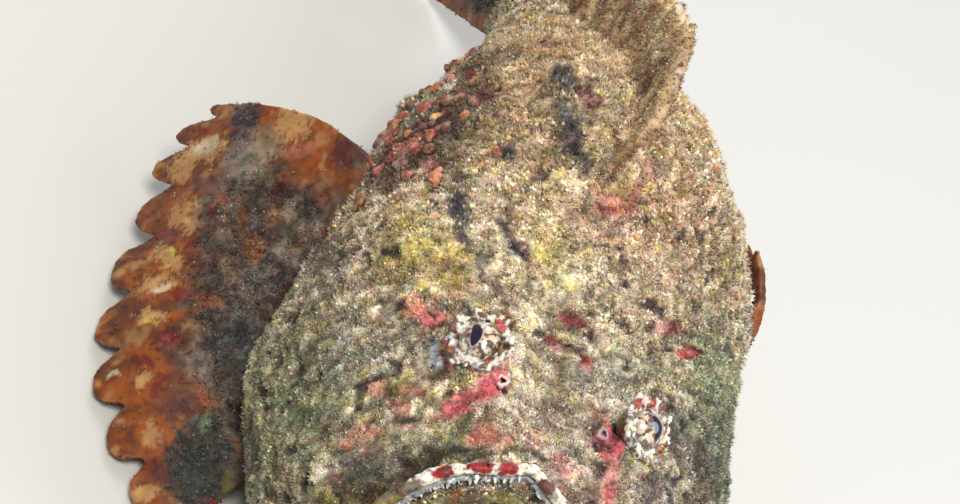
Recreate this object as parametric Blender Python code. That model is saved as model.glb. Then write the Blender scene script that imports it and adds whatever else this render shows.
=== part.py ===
"""Reef stonefish, life size and still, resting on its belly: one object for each named piece.

The fish is shaped along a straight axis and bent at the end. Until then a place is given as
along (back from the snout), side (towards the fish's left) and up (above the floor), in metres.
"""

import math
import random

import bmesh
import bpy
import numpy as np
from mathutils import Matrix, Vector, noise
from mathutils.bvhtree import BVHTree

MM = 0.001
GAP = 0.3 * MM
WELD = 0.01 * MM

# Where a ray or a cutter starts, well clear of the fish
FAR_AHEAD = 50 * MM
FAR_BELOW = 20 * MM
FAR_OUT = 200 * MM

# The body's sections: height of the back, belly and widest line, and half the width, at each station
STATIONS = MM * np.array([0, 20, 38, 60, 84, 108, 140, 170, 198, 222, 245])
BACK = MM * np.array([67, 72.5, 74, 77.5, 87, 95, 93, 81, 68, 59, 56])
BELLY = MM * np.array([12, 3, -3, -4, -4, -4, -4, 3, 14, 20, 23])
WIDEST = MM * np.array([35, 32, 30, 30, 32, 36, 40, 43, 42, 40, 39.5])
HALF_WIDTH = MM * np.array([38, 47, 52, 56.5, 57, 55, 50, 40, 26, 12, 6])
BACK_SQUARENESS = np.array([2.3, 2.4, 2.5, 2.3, 2.0, 1.85, 1.8, 1.85, 1.9, 2.0, 2.0])
BELLY_SQUARENESS = 2.6
STANDARD_LENGTH = STATIONS[-1]
NOSE_DEPTH = 20 * MM
NOSE_SQUARENESS = 2.4
BODY_SIDES = 34
TOP_CLOSENESS = 0.28
NOSE_RINGS = 6
HEAD_RINGS = 13
TRUNK_RINGS = 15

# The gill opening leans back towards the top, and the trunk is narrower just behind it
GILL_ALONG = 80 * MM
GILL_UP = 34 * MM
GILL_LEAN = 0.42
GILL_STEP = 2.6 * MM
GILL_FADE = 16 * MM

# Mounds and pits: along, side, up, then reach along, sideways and upwards, then height
FORMS = (
    (35, 20.5, 70.5, 11, 9, 11, 7.5),
    (36, 0, 74.5, 12, 9, 22, -6.0),
    (51, 24, 74, 8, 10, 13, -4.5),
    (61, 0, 80, 11, 15, 20, -5.0),
    (21, 26, 58, 8, 9, 10, -5.0),
    (13, 37, 44, 8, 8, 9, 3.5),
    (15, 9, 66, 8, 7, 10, 3.0),
    (50, 54, 30, 14, 10, 12, 4.0),
    (63, 50, 46, 8, 9, 8, 4.0),
    (74, 40, 67, 9, 9, 8, 4.5),
    (97, 19, 88, 12, 9, 12, 3.5),
    (112, 40, 62, 13, 12, 12, 3.0),
    (0, 0, 30, 12, 17, 14, 3.0),
)
LUMP_SIZE = 19 * MM
LUMP_HEIGHT = 1.5 * MM

# Mouth: an arch over the lower jaw, seen from the front
MOUTH_HALF_WIDTH = 26 * MM
MOUTH_CORNER_UP = 31 * MM
MOUTH_TOP_UP = 69 * MM
MOUTH_SQUARENESS = 2.2
JAW_STRAIGHT = 16 * MM
JAW_DEPTH = 32 * MM
JAW_NARROWING = 0.5
LIP_RADIUS = 1.8 * MM
LIP_TURN = math.radians(14)
LIP_POINTS = 27
LIP_GAP = 0.5 * MM
LIP_LEAN = 0.35
FRINGE_COUNT = 17
FRINGE_LENGTH = 3.0 * MM
FRINGE_RADIUS = 0.85 * MM

# Eyes and nostrils
EYE_ALONG = 35 * MM
EYE_SIDE = 20.4 * MM
EYE_LOOK = Vector((-0.35, 0.55, 0.76))
EYE_RADIUS = 5.4 * MM
EYE_SUNK = 1.6 * MM
LID_RADIUS = 5.7 * MM
LID_THICKNESS = 1.5 * MM
LID_OUT = 1.5 * MM
LAPPETS = 8
LAPPET_RADIUS = 1.1 * MM
LAPPET_LENGTH = 4.2 * MM
NOSTRIL_ALONG = 31 * MM
NOSTRIL_SIDE = 12.3 * MM
NOSTRIL_RADIUS = 1.7 * MM
NOSTRIL_RIM = 0.85 * MM

# Warts
WART_SEED = 7
WART_TRIES = 900
WARTS = 42
ROW_WARTS = 9
WART_LEAST = 2.6 * MM
WART_MOST = 6.2 * MM
WART_SPACE = 2.5 * MM
ROW_WART = 4.0 * MM

# Dorsal fin: the spiny part, then the soft part
SPINY_START = 98 * MM
SPINY_END = 193 * MM
SPINE_HEIGHTS = MM * np.array([13, 17, 19, 20, 20, 19, 19, 18, 18, 17, 16, 15, 14])
SPINE_LEAN = 9 * MM
SOFT_START = 198 * MM
SOFT_END = 232 * MM
SOFT_HEIGHTS = MM * np.array([15, 18, 19, 18.5, 17, 14, 9])
SOFT_LEAN = 14 * MM
ROOT_DEPTH = 5 * MM
RIDGE_FADE = 0.65

# Pectoral fins: the right one is spread on the floor and the left one folded along the flank
PECTORAL_RAYS = 10
PECTORAL_ROOT_ALONG = MM * np.array([101, 94, 84, 73, 63])
PECTORAL_ROOT_ANGLE = np.array([24, 6, -11, -25, -36])
SPREAD_ALONG = MM * np.array([150, 138, 110, 78, 50, 28, 11])
SPREAD_SIDE = MM * np.array([90, 97, 96, 94, 87, 73, 57])
SPREAD_UP = MM * np.array([26, 13, 6, 2.2, 1.7, 1.7, 1.7])
SPREAD_ARCH = MM * np.array([16, 18, 20, 19, 16, 12, 9])
FOLDED_ALONG = MM * np.array([144, 160, 164, 158, 138])
FOLDED_SIDE = MM * np.array([52, 50, 52, 56, 61])
FOLDED_UP = MM * np.array([60, 48, 33, 18, 6])
FOLDED_BULGE = 10 * MM

# Other fins
CAUDAL_RAYS = 12
CAUDAL_LENGTH = 60 * MM
CAUDAL_FAN = math.radians(29)
CAUDAL_ROUNDING = 0.14
CAUDAL_ROOT_HALF = 13 * MM
CAUDAL_ROOT_ALONG = 238 * MM
CAUDAL_MIDDLE_UP = 39.5 * MM
ANAL_RAYS = 8
ANAL_START = 172 * MM
ANAL_END = 212 * MM
ANAL_LEAN = 13 * MM
PELVIC_RAYS = 6
PELVIC_ROOTS = MM * np.array([70, 94])
PELVIC_TIPS = MM * np.array([88, 132])
PELVIC_ROOT_SIDE = 33 * MM
PELVIC_REACH = {"pelvic_fin_left": 50 * MM, "pelvic_fin_right": 58 * MM}

# Each fin's thickness at the root and at the margin and how far its rays stand out, in millimetres,
# how deep the margin is notched between rays, how round its lobes are (1 is pointed), how many steps
# there are from ray to ray, and how many rows from root to margin
FIN_SHAPES = {
    "dorsal_fin_spiny": (5.0, 2.0, 1.5, 0.48, 1.5, 4, 4),
    "dorsal_fin_soft": (4.0, 1.3, 0.7, 0.13, 2.4, 4, 5),
    "pectoral_fin_right": (3.4, 1.4, 0.8, 0.12, 3.0, 6, 6),
    "pectoral_fin_left": (3.4, 1.4, 0.6, 0.08, 3.0, 4, 6),
    "caudal_fin": (6.0, 1.3, 0.7, 0.08, 2.4, 4, 5),
    "anal_fin": (3.6, 1.3, 0.6, 0.10, 2.4, 2, 5),
    "pelvic_fin_left": (2.2, 1.3, 0.45, 0.10, 2.4, 2, 5),
    "pelvic_fin_right": (2.2, 1.3, 0.45, 0.10, 2.4, 2, 5),
}

# Bend of the body: the front is straight, and then the trunk and tail curl to the fish's right
BEND_START = 110 * MM
BEND_TURN = math.radians(-34)
BEND_LENGTH = 195 * MM
HEAD_TURN = math.radians(20)

TAIL_CUT = 166 * MM
COLOURS = {
    "skin": ((0.50, 0.39, 0.26, 1.0), 0.75),
    "jaw": ((0.36, 0.30, 0.20, 1.0), 0.7),
    "fin": ((0.55, 0.25, 0.08, 1.0), 0.6),
    "tail": ((0.40, 0.30, 0.22, 1.0), 0.7),
    "eye": ((0.10, 0.06, 0.12, 1.0), 0.15),
}


def smooth(at, stations, values):
    """A smooth curve through the values given at the stations."""
    at = np.clip(at, stations[0], stations[-1])
    slopes = np.gradient(values, stations)
    low = np.clip(np.searchsorted(stations, at) - 1, 0, len(stations) - 2)
    width = stations[low + 1] - stations[low]
    t = (at - stations[low]) / width
    return (
        values[low] * (1 + 2 * t) * (1 - t) ** 2
        + values[low + 1] * t**2 * (3 - 2 * t)
        + slopes[low] * width * t * (1 - t) ** 2
        - slopes[low + 1] * width * t**2 * (1 - t)
    )


def spread(values, count):
    """The values, resampled smoothly to that count."""
    return smooth(np.linspace(0, 1, count), np.linspace(0, 1, len(values)), values)


def powered(wave, squareness):
    return np.sign(wave) * np.abs(wave) ** (2 / squareness)


def bare_body(along, angle):
    """Points of the plain body at these places along it and angles round it. Angle 0 is the left side."""
    nose = np.clip(1 - along / NOSE_DEPTH, 0, 1)
    closing = (1 - nose**NOSE_SQUARENESS) ** (1 / NOSE_SQUARENESS)
    middle = smooth(along, STATIONS, WIDEST)
    half = smooth(along, STATIONS, HALF_WIDTH) * closing
    rise = (smooth(along, STATIONS, BACK) - middle) * closing
    drop = (middle - smooth(along, STATIONS, BELLY)) * closing
    square = np.where(np.sin(angle) > 0, smooth(along, STATIONS, BACK_SQUARENESS), BELLY_SQUARENESS)
    side = half * powered(np.cos(angle), square)
    up = middle + np.where(np.sin(angle) > 0, rise, drop) * powered(np.sin(angle), square)
    leaning = GILL_LEAN * (up - GILL_UP) * np.exp(-(((along - GILL_ALONG) / (24 * MM)) ** 2))
    behind = along - GILL_ALONG
    step = np.where(behind > 0, GILL_STEP * np.exp(-behind / GILL_FADE), 0)
    beside = np.clip(np.abs(side) / (25 * MM), 0, 1) ** 2
    side = side * (1 - step * beside / np.maximum(half, 10 * MM))
    return np.stack([along + leaning, side, up], -1)


def body_sections():
    """How far along each ring of the body lies, from the snout to the tail."""
    turn = np.linspace(0, math.pi / 2, NOSE_RINGS + 1)[1:-1]
    nose = NOSE_DEPTH * (1 - np.cos(turn))
    head = np.linspace(NOSE_DEPTH, GILL_ALONG + 18 * MM, HEAD_RINGS, endpoint=False)
    rest = np.concatenate([head, np.linspace(GILL_ALONG + 18 * MM, STANDARD_LENGTH, TRUNK_RINGS)])
    gill = int(np.argmin(np.abs(rest - GILL_ALONG)))
    rest[gill] = GILL_ALONG - 1.5 * MM
    rest[gill + 1] = GILL_ALONG + 1.5 * MM
    return np.concatenate([nose, rest])


def form_heights(points):
    """How far the mounds, pits and lumps lift the skin at these points."""
    lift = np.zeros(points.shape[:-1])
    for along, side, up, reach_along, reach_side, reach_up, height in FORMS:
        for way in {side, -side}:
            centre = MM * np.array([along, way, up])
            reach = MM * np.array([reach_along, reach_side, reach_up])
            lift += MM * height * np.exp(-np.sum(((points - centre) / reach) ** 2, -1))
    lumps = [noise.noise(Vector(p) / LUMP_SIZE) for p in points.reshape(-1, 3)]
    return lift + LUMP_HEIGHT * np.array(lumps).reshape(lift.shape)


def new_object(name, mesh):
    made = bpy.data.objects.new(name, mesh)
    bpy.context.scene.collection.objects.link(made)
    return made


def mesh_of(bm, name="piece"):
    mesh = bpy.data.meshes.new(name)
    bm.to_mesh(mesh)
    bm.free()
    return mesh


def face_out(bm):
    """Turns every face of a closed mesh to point outwards."""
    bm.normal_update()
    bmesh.ops.recalc_face_normals(bm, faces=bm.faces)
    bm.normal_update()


def make_body():
    """The whole body as one closed skin: a sphere whose rings become the sections."""
    sections = body_sections()
    bm = bmesh.new()
    bmesh.ops.create_uvsphere(bm, u_segments=BODY_SIDES, v_segments=len(sections) + 1, radius=1)
    directions = np.array([v.co for v in bm.verts])
    down = np.arccos(np.clip(directions[:, 2], -1, 1)) / math.pi
    ring = np.rint(down * (len(sections) + 1)).astype(int)
    angle = np.arctan2(directions[:, 1], directions[:, 0])
    angle = angle + TOP_CLOSENESS * np.cos(angle)
    along = np.concatenate([[0], sections, [STANDARD_LENGTH]])[ring]
    points = bare_body(along, angle)
    tail_pole = ring == len(sections) + 1
    points[tail_pole] = [STANDARD_LENGTH, 0, WIDEST[-1]]
    for vert, point in zip(bm.verts, points):
        vert.co = point
    face_out(bm)
    normals = np.array([v.normal for v in bm.verts])
    lift = form_heights(points) * ~tail_pole
    points = points + normals * lift[:, None]
    points[:, 2] = np.maximum(points[:, 2], 0)
    for vert, point in zip(bm.verts, points):
        vert.co = point
    bmesh.ops.triangulate(bm, faces=bm.faces)
    return new_object("body", mesh_of(bm))


class Skin:
    """The body's surface, to set pieces on."""

    def __init__(self, body):
        bm = bmesh.new()
        bm.from_mesh(body.data)
        self.tree = BVHTree.FromBMesh(bm)
        bm.free()

    def hit(self, start, way):
        point, normal, _, _ = self.tree.ray_cast(Vector(start), Vector(way))
        return point, normal

    def around(self, along, degrees):
        """The point and outward normal at this place along the body and angle round it."""
        middle = float(smooth(along, STATIONS, WIDEST))
        turn = math.radians(degrees)
        way = Vector((0, math.cos(turn), math.sin(turn)))
        return self.hit(Vector((along, 0, middle)) + way * FAR_OUT, -way)

    def ahead(self, side, up):
        return self.hit((-FAR_AHEAD, side, up), (1, 0, 0))


def evaluated_mesh(source):
    graph = bpy.context.evaluated_depsgraph_get()
    return bpy.data.meshes.new_from_object(source.evaluated_get(graph))


def remove(*unwanted):
    for piece in unwanted:
        bpy.data.objects.remove(piece)


def keep_largest(piece):
    """Leaves only the largest closed surface of a mesh."""
    bm = bmesh.new()
    bm.from_mesh(piece.data)
    left = set(bm.verts)
    islands = []
    while left:
        island = set()
        reached = [left.pop()]
        while reached:
            vert = reached.pop()
            island.add(vert)
            near = {edge.other_vert(vert) for edge in vert.link_edges} & left
            left -= near
            reached += near
        islands.append(island)
    islands.sort(key=len)
    for island in islands[:-1]:
        bmesh.ops.delete(bm, geom=list(island), context="VERTS")
    bm.to_mesh(piece.data)
    bm.free()


def combine(target, others, operation):
    """Joins to the target, or cuts from it, the other closed meshes, which are then removed."""
    group = bpy.data.collections.new("joined")
    bpy.context.scene.collection.children.link(group)
    for other in others:
        for holder in other.users_collection:
            holder.objects.unlink(other)
        group.objects.link(other)
    boolean = target.modifiers.new("combine", "BOOLEAN")
    boolean.operand_type = "COLLECTION"
    boolean.collection = group
    boolean.operation = operation
    boolean.solver = "MANIFOLD"
    bpy.context.view_layer.update()
    mesh = evaluated_mesh(target)
    target.modifiers.clear()
    target.data = mesh
    remove(*others)
    bpy.data.collections.remove(group)
    keep_largest(target)


def copy_of(piece, name):
    return new_object(name, piece.data.copy())


def inflated(piece, distance):
    """A copy of a closed mesh, with each point moved out along its normal."""
    swollen = copy_of(piece, "inflated")
    bm = bmesh.new()
    bm.from_mesh(swollen.data)
    bm.normal_update()
    moved = [vert.co + vert.normal * distance * vert.calc_shell_factor() for vert in bm.verts]
    for vert, place in zip(bm.verts, moved):
        vert.co = place
    bm.to_mesh(swollen.data)
    bm.free()
    return swollen


def cut_off(piece, point, normal):
    """Removes what lies on the normal's side of a plane, and closes the cut."""
    bm = bmesh.new()
    bm.from_mesh(piece.data)
    whole = bm.verts[:] + bm.edges[:] + bm.faces[:]
    bmesh.ops.bisect_plane(bm, geom=whole, plane_co=point, plane_no=normal, clear_outer=True)
    bmesh.ops.dissolve_degenerate(bm, edges=bm.edges, dist=WELD)
    open_edges = [edge for edge in bm.edges if edge.is_boundary]
    bmesh.ops.holes_fill(bm, edges=open_edges, sides=0)
    bmesh.ops.triangulate(bm, faces=[face for face in bm.faces if len(face.verts) > 3])
    bm.to_mesh(piece.data)
    bm.free()


def facing(point, normal):
    """Places a shape made round +Z at a point, with +Z along the normal."""
    return Matrix.Translation(point) @ Vector(normal).to_track_quat("Z", "Y").to_matrix().to_4x4()


def dome(point, normal, radius, height, stretch, sides=7):
    """A low round wart, half of it under the skin."""
    bm = bmesh.new()
    bmesh.ops.create_uvsphere(bm, u_segments=sides, v_segments=4, radius=1)
    place = facing(point, normal) @ Matrix.Diagonal((radius * stretch, radius / stretch, height, 1))
    bmesh.ops.transform(bm, matrix=place, verts=bm.verts)
    bmesh.ops.triangulate(bm, faces=bm.faces)
    return new_object("wart", mesh_of(bm))


def flap(point, way, radius, length, sides=4):
    """A small pointed skin flap, rooted a little under the skin."""
    bm = bmesh.new()
    bmesh.ops.create_cone(
        bm, cap_ends=True, segments=sides, radius1=radius, radius2=radius * 0.25, depth=length * 1.5
    )
    lifted = Matrix.Translation((0, 0, length * 0.25))
    bmesh.ops.transform(bm, matrix=facing(point, way) @ lifted, verts=bm.verts)
    bmesh.ops.triangulate(bm, faces=bm.faces)
    return new_object("flap", mesh_of(bm))


def ring(point, normal, radius, thickness, around=14, across=6):
    """A torus round a point of the skin."""
    bpy.ops.mesh.primitive_torus_add(
        major_segments=around, minor_segments=across, major_radius=radius, minor_radius=thickness
    )
    made = bpy.context.object
    made.data.transform(facing(point, normal))
    return made


def ball(point, radius, sides, rings):
    bm = bmesh.new()
    bmesh.ops.create_uvsphere(bm, u_segments=sides, v_segments=rings, radius=radius)
    bmesh.ops.translate(bm, verts=bm.verts, vec=point)
    bmesh.ops.triangulate(bm, faces=bm.faces)
    return new_object("ball", mesh_of(bm))


def eye_places(skin):
    """The centre and outward direction of each eye, by name."""
    places = {}
    for name, way in (("left", 1), ("right", -1)):
        point, _ = skin.hit((EYE_ALONG, way * EYE_SIDE, FAR_OUT), (0, 0, -1))
        outward = (EYE_LOOK * Vector((1, way, 1))).normalized()
        places[name] = (point - outward * EYE_SUNK, outward)
    return places


def mouth_outline(offset, start, end, count):
    """Points (side, up) of the mouth's arch, moved out by an offset. Turn 0 is the left corner."""
    turns = np.linspace(start, end, count)
    height = MOUTH_TOP_UP - MOUTH_CORNER_UP + offset
    side = (MOUTH_HALF_WIDTH + offset) * powered(np.cos(turns), MOUTH_SQUARENESS)
    up = MOUTH_CORNER_UP + height * powered(np.sin(turns), MOUTH_SQUARENESS)
    return list(zip(side, up))


def jaw_block(offset):
    """The solid that parts the lower jaw from the head: the mouth's arch, narrowing into the head."""
    corner = MOUTH_HALF_WIDTH + offset
    outline = [(corner, -FAR_BELOW), *mouth_outline(offset, 0.0, math.pi, 25), (-corner, -FAR_BELOW)]
    bm = bmesh.new()
    sections = ((-FAR_AHEAD, 1), (JAW_STRAIGHT, 1), (JAW_DEPTH + offset, JAW_NARROWING))
    rings = []
    for along, narrowing in sections:
        rings.append([bm.verts.new((along, side * narrowing, up * narrowing)) for side, up in outline])
    bm.faces.new(rings[0])
    bm.faces.new(rings[-1])
    for near, far in zip(rings, rings[1:]):
        for i in range(len(outline)):
            bm.faces.new((near[i - 1], near[i], far[i], far[i - 1]))
    face_out(bm)
    bmesh.ops.triangulate(bm, faces=bm.faces)
    return new_object("jaw_block", mesh_of(bm))


def lip(skin, offset):
    """A round lip along the mouth's arch, with its fringe of short flaps, which leans over the mouth."""
    outline = mouth_outline(offset, LIP_TURN, math.pi - LIP_TURN, LIP_POINTS)
    places = [skin.ahead(side, up) for side, up in outline]
    curve = bpy.data.curves.new("lip", "CURVE")
    curve.dimensions = "3D"
    curve.bevel_depth = LIP_RADIUS
    curve.bevel_resolution = 1
    curve.use_fill_caps = True
    spline = curve.splines.new("POLY")
    spline.points.add(len(places) - 1)
    for i, (point, normal) in enumerate(places):
        taper = min(1, 0.45 + 4 * min(i, len(places) - 1 - i) / len(places))
        spline.points[i].co = (*(point + normal * 0.35 * LIP_RADIUS), 1)
        spline.points[i].radius = taper
    guide = new_object("guide", curve)
    bpy.context.view_layer.update()
    bm = bmesh.new()
    bm.from_mesh(evaluated_mesh(guide))
    bmesh.ops.remove_doubles(bm, verts=bm.verts, dist=WELD)
    bmesh.ops.triangulate(bm, faces=bm.faces)
    face_out(bm)
    remove(guide)
    pieces = [new_object("lip", mesh_of(bm))]
    turns = mouth_outline(offset, LIP_TURN * 1.6, math.pi - LIP_TURN * 1.6, FRINGE_COUNT)
    centre = Vector((0, 0, MOUTH_CORNER_UP))
    for i, (side, up) in enumerate(turns):
        point, normal = skin.ahead(side, up)
        inward = (centre - Vector((0, side, up))).normalized()
        way = (normal + inward * LIP_LEAN).normalized()
        root = point + normal * LIP_RADIUS
        pieces.append(flap(root, way, FRINGE_RADIUS, FRINGE_LENGTH * (0.8 + 0.25 * (i % 3))))
    return pieces


def wart_places(skin, draw):
    """Points, normals and radii of the warts: a row on each side of the dorsal fin, then a scatter."""
    kept = []
    for along in np.linspace(SPINY_START + 6 * MM, SPINY_END, ROW_WARTS):
        for turn in (-1, 1):
            half = float(smooth(along, STATIONS, HALF_WIDTH))
            degrees = 90 + turn * (18 + 420 * MM / (half + 10 * MM))
            point, normal = skin.around(along, degrees)
            kept.append((point, normal, ROW_WART * draw.uniform(0.8, 1.1)))
    eyes = [centre for centre, _ in eye_places(skin).values()]
    for _ in range(WART_TRIES):
        along = draw.uniform(20 * MM, 226 * MM)
        point, normal = skin.around(along, draw.uniform(-12, 192))
        radius = draw.uniform(WART_LEAST, WART_MOST) * (0.72 if along > 170 * MM else 1)
        on_ridge = along > SPINY_START - 8 * MM and abs(point.y) < radius + 6 * MM
        at_fin = 56 * MM < along < 112 * MM and point.z < 56 * MM
        at_mouth = point.x < 26 * MM and abs(point.y) < 38 * MM
        at_eye = any((point - eye).length < 13 * MM + radius for eye in eyes)
        crowded = any((point - other).length < radius + size + WART_SPACE for other, _, size in kept)
        if not (on_ridge or at_fin or at_mouth or at_eye or crowded):
            kept.append((point, normal, radius))
        if len(kept) == WARTS + 2 * ROW_WARTS:
            break
    return kept


def add_skin_forms(body, skin):
    """Fuses the warts, the eyelids with their lappets and the nostril rims to the body."""
    draw = random.Random(WART_SEED)
    pieces = [
        dome(point, normal, radius, radius * draw.uniform(0.4, 0.6), draw.uniform(0.85, 1.2))
        for point, normal, radius in wart_places(skin, draw)
    ]
    for centre, outward in eye_places(skin).values():
        lid_centre = centre + outward * LID_OUT
        pieces.append(ring(lid_centre, outward, LID_RADIUS, LID_THICKNESS))
        across = outward.orthogonal().normalized()
        for i in range(LAPPETS):
            turn = math.tau * (i + draw.uniform(-0.2, 0.2)) / LAPPETS
            spoke = Matrix.Rotation(turn, 3, outward) @ across
            root = lid_centre + spoke * (LID_RADIUS + 0.4 * LID_THICKNESS)
            way = (spoke * 0.75 + outward).normalized()
            pieces.append(flap(root, way, LAPPET_RADIUS, LAPPET_LENGTH * draw.uniform(0.7, 1.15)))
    for side in (NOSTRIL_SIDE, -NOSTRIL_SIDE):
        point, normal = skin.hit((NOSTRIL_ALONG, side, FAR_OUT), (0, 0, -1))
        pieces.append(ring(point + normal * 0.3 * MM, normal, NOSTRIL_RADIUS, NOSTRIL_RIM, 9, 5))
    combine(body, pieces, "UNION")


def fan(name, roots, middles, tips, body):
    """A fin as one closed vane. Each ray bends from its root by a middle point to its tip."""
    at_root, at_margin, ridge, notch, roundness, steps, rows = FIN_SHAPES[name]
    rays = len(roots)
    count = (rays - 1) * steps + 1
    at = np.linspace(0, rays - 1, count)
    index = np.arange(rays, dtype=float)
    root, middle, tip = (
        np.stack([smooth(at, index, np.asarray(points)[:, axis]) for axis in range(3)], -1)
        for points in (roots, middles, tips)
    )
    crest = np.cos(math.pi * (at - np.rint(at))) ** 2
    reach = 1 - notch * np.abs(2 * (at - np.rint(at))) ** roundness
    t = np.linspace(0, 1, rows)[:, None] * reach[None, :]
    t = t[..., None]
    surface = root * (1 - t) ** 2 + middle * 2 * t * (1 - t) + tip * t**2
    run_along = np.gradient(surface, axis=1)
    run_out = np.gradient(surface, axis=0)
    normal = np.cross(run_along, run_out)
    normal /= np.linalg.norm(normal, axis=-1, keepdims=True)
    half = MM * (at_root * (1 - t) + at_margin * t) / 2
    half = half + MM * ridge * crest[None, :, None] * (1 - RIDGE_FADE * t)
    upper, lower = surface + normal * half, surface - normal * half
    bm = bmesh.new()
    top = [[bm.verts.new(p) for p in row] for row in upper]
    under = [[bm.verts.new(p) for p in row] for row in lower]
    for i in range(rows - 1):
        for j in range(count - 1):
            for grid, flip in ((top, 1), (under, -1)):
                a, b, c, d = grid[i][j], grid[i][j + 1], grid[i + 1][j + 1], grid[i + 1][j]
                bm.faces.new((a, b, c)[::flip])
                bm.faces.new((a, c, d)[::flip])
    loop = [(0, j) for j in range(count)] + [(i, count - 1) for i in range(1, rows)]
    loop += [(rows - 1, j) for j in range(count - 2, -1, -1)] + [(i, 0) for i in range(rows - 2, 0, -1)]
    for (i, j), (k, m) in zip(loop, loop[1:] + loop[:1]):
        bm.faces.new((top[i][j], under[i][j], under[k][m]))
        bm.faces.new((top[i][j], under[k][m], top[k][m]))
    face_out(bm)
    made = new_object(name, mesh_of(bm, name))
    combine(made, [inflated(body, GAP)], "DIFFERENCE")
    return made


def make_dorsal_fins(skin, body):
    """The thirteen sheathed spines, then the soft rays behind them."""
    made = []
    for name, start, end, heights, lean in (
        ("dorsal_fin_spiny", SPINY_START, SPINY_END, SPINE_HEIGHTS, SPINE_LEAN),
        ("dorsal_fin_soft", SOFT_START, SOFT_END, SOFT_HEIGHTS, SOFT_LEAN),
    ):
        roots, middles, tips = [], [], []
        for along, height in zip(np.linspace(start, end, len(heights)), heights):
            back = skin.around(along, 90)[0].z
            roots.append((along, 0, back - ROOT_DEPTH))
            middles.append((along + 0.3 * lean, 0, back + 0.5 * height))
            tips.append((along + lean, 0, back + height))
        made.append(fan(name, roots, middles, tips, body))
    return made


def pectoral_roots(skin, way):
    """Where the rays of a pectoral fin start, under the skin. Way is 1 for the left fin, else -1."""
    roots = []
    along = spread(PECTORAL_ROOT_ALONG, PECTORAL_RAYS)
    angles = spread(PECTORAL_ROOT_ANGLE, PECTORAL_RAYS)
    for place, degrees in zip(along, angles):
        point, normal = skin.around(place, degrees if way > 0 else 180 - degrees)
        roots.append(point - normal * ROOT_DEPTH)
    return np.array(roots)


def make_pectoral_fins(skin, body):
    """The right fin spread out to the floor and the left one folded back along the flank."""
    right = pectoral_roots(skin, -1)
    tips = np.stack([spread(v, PECTORAL_RAYS) for v in (SPREAD_ALONG, -SPREAD_SIDE, SPREAD_UP)], -1)
    middles = (right + tips) / 2
    middles[:, 2] += spread(SPREAD_ARCH, PECTORAL_RAYS)
    spread_fin = fan("pectoral_fin_right", right, middles, tips, body)
    left = pectoral_roots(skin, 1)
    tips = np.stack([spread(v, PECTORAL_RAYS) for v in (FOLDED_ALONG, FOLDED_SIDE, FOLDED_UP)], -1)
    middles = (left + tips) / 2
    middles[:, 1] += FOLDED_BULGE
    folded_fin = fan("pectoral_fin_left", left, middles, tips, body)
    return [spread_fin, folded_fin]


def make_caudal_fin(body):
    roots, middles, tips = [], [], []
    for turn in np.linspace(1, -1, CAUDAL_RAYS):
        length = CAUDAL_LENGTH * (1 - CAUDAL_ROUNDING * abs(turn) ** 2.5)
        up = CAUDAL_MIDDLE_UP + CAUDAL_ROOT_HALF * turn
        rise = math.sin(CAUDAL_FAN * turn) * length
        run = math.cos(CAUDAL_FAN * turn) * length
        roots.append((CAUDAL_ROOT_ALONG, 0, up))
        middles.append((CAUDAL_ROOT_ALONG + run / 2, 0, up + rise * 0.45))
        tips.append((CAUDAL_ROOT_ALONG + 7 * MM + run, 0, max(up + rise, 1.5 * MM)))
    return fan("caudal_fin", roots, middles, tips, body)


def make_anal_fin(skin, body):
    roots, middles, tips = [], [], []
    for along in np.linspace(ANAL_START, ANAL_END, ANAL_RAYS):
        under = skin.around(along, -90)[0].z
        roots.append((along, 0, under + ROOT_DEPTH))
        middles.append((along + 5 * MM, 0.5 * MM, under * 0.55))
        tips.append((along + ANAL_LEAN, 2 * MM, 1.2 * MM))
    return fan("anal_fin", roots, middles, tips, body)


def make_pelvic_fin(body, name, way):
    """A small fleshy fin that lies flat on the floor beside the belly."""
    t = np.linspace(0, 1, PELVIC_RAYS)
    level = np.ones(PELVIC_RAYS)
    along = np.interp(t, [0, 1], PELVIC_ROOTS)
    roots = np.stack([along, way * PELVIC_ROOT_SIDE * level, 3.0 * MM * level], -1)
    side = way * PELVIC_REACH[name] * (0.72 + 0.28 * np.sin(math.pi * (0.15 + 0.7 * t)))
    tips = np.stack([np.interp(t, [0, 1], PELVIC_TIPS), side, 2.1 * MM * level], -1)
    middles = (roots + tips) / 2
    middles[:, 2] = 2.6 * MM
    return fan(name, roots, middles, tips, body)


def part_body(body, skin):
    """Cuts the whole body into the head, the lower jaw, the trunk and the tail stock."""
    gill = Vector((GILL_ALONG, 0, GILL_UP))
    back = Vector((1, 0, -GILL_LEAN)).normalized()
    head = copy_of(body, "head")
    cut_off(head, gill - back * GAP / 2, back)
    lower_jaw = copy_of(body, "lower_jaw")
    combine(lower_jaw, [jaw_block(-GAP / 2)], "INTERSECT")
    combine(lower_jaw, lip(skin, -LIP_RADIUS - LIP_GAP / 2), "UNION")
    combine(head, [jaw_block(GAP / 2)], "DIFFERENCE")
    combine(head, lip(skin, LIP_RADIUS + LIP_GAP / 2), "UNION")
    trunk = copy_of(body, "trunk")
    cut_off(trunk, gill + back * GAP / 2, -back)
    cut_off(trunk, (TAIL_CUT - GAP / 2, 0, 0), (1, 0, 0))
    tail_stock = copy_of(body, "tail_stock")
    cut_off(tail_stock, (TAIL_CUT + GAP / 2, 0, 0), (-1, 0, 0))
    return [head, lower_jaw, trunk, tail_stock]


def make_eyes(head, skin):
    """An eyeball in a socket cut round it."""
    made = []
    for name, (centre, _) in eye_places(skin).items():
        combine(head, [ball(centre, EYE_RADIUS + GAP, 14, 9)], "DIFFERENCE")
        eye = ball(centre, EYE_RADIUS, 14, 9)
        eye.name = "eye_" + name
        made.append(eye)
    return made


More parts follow.
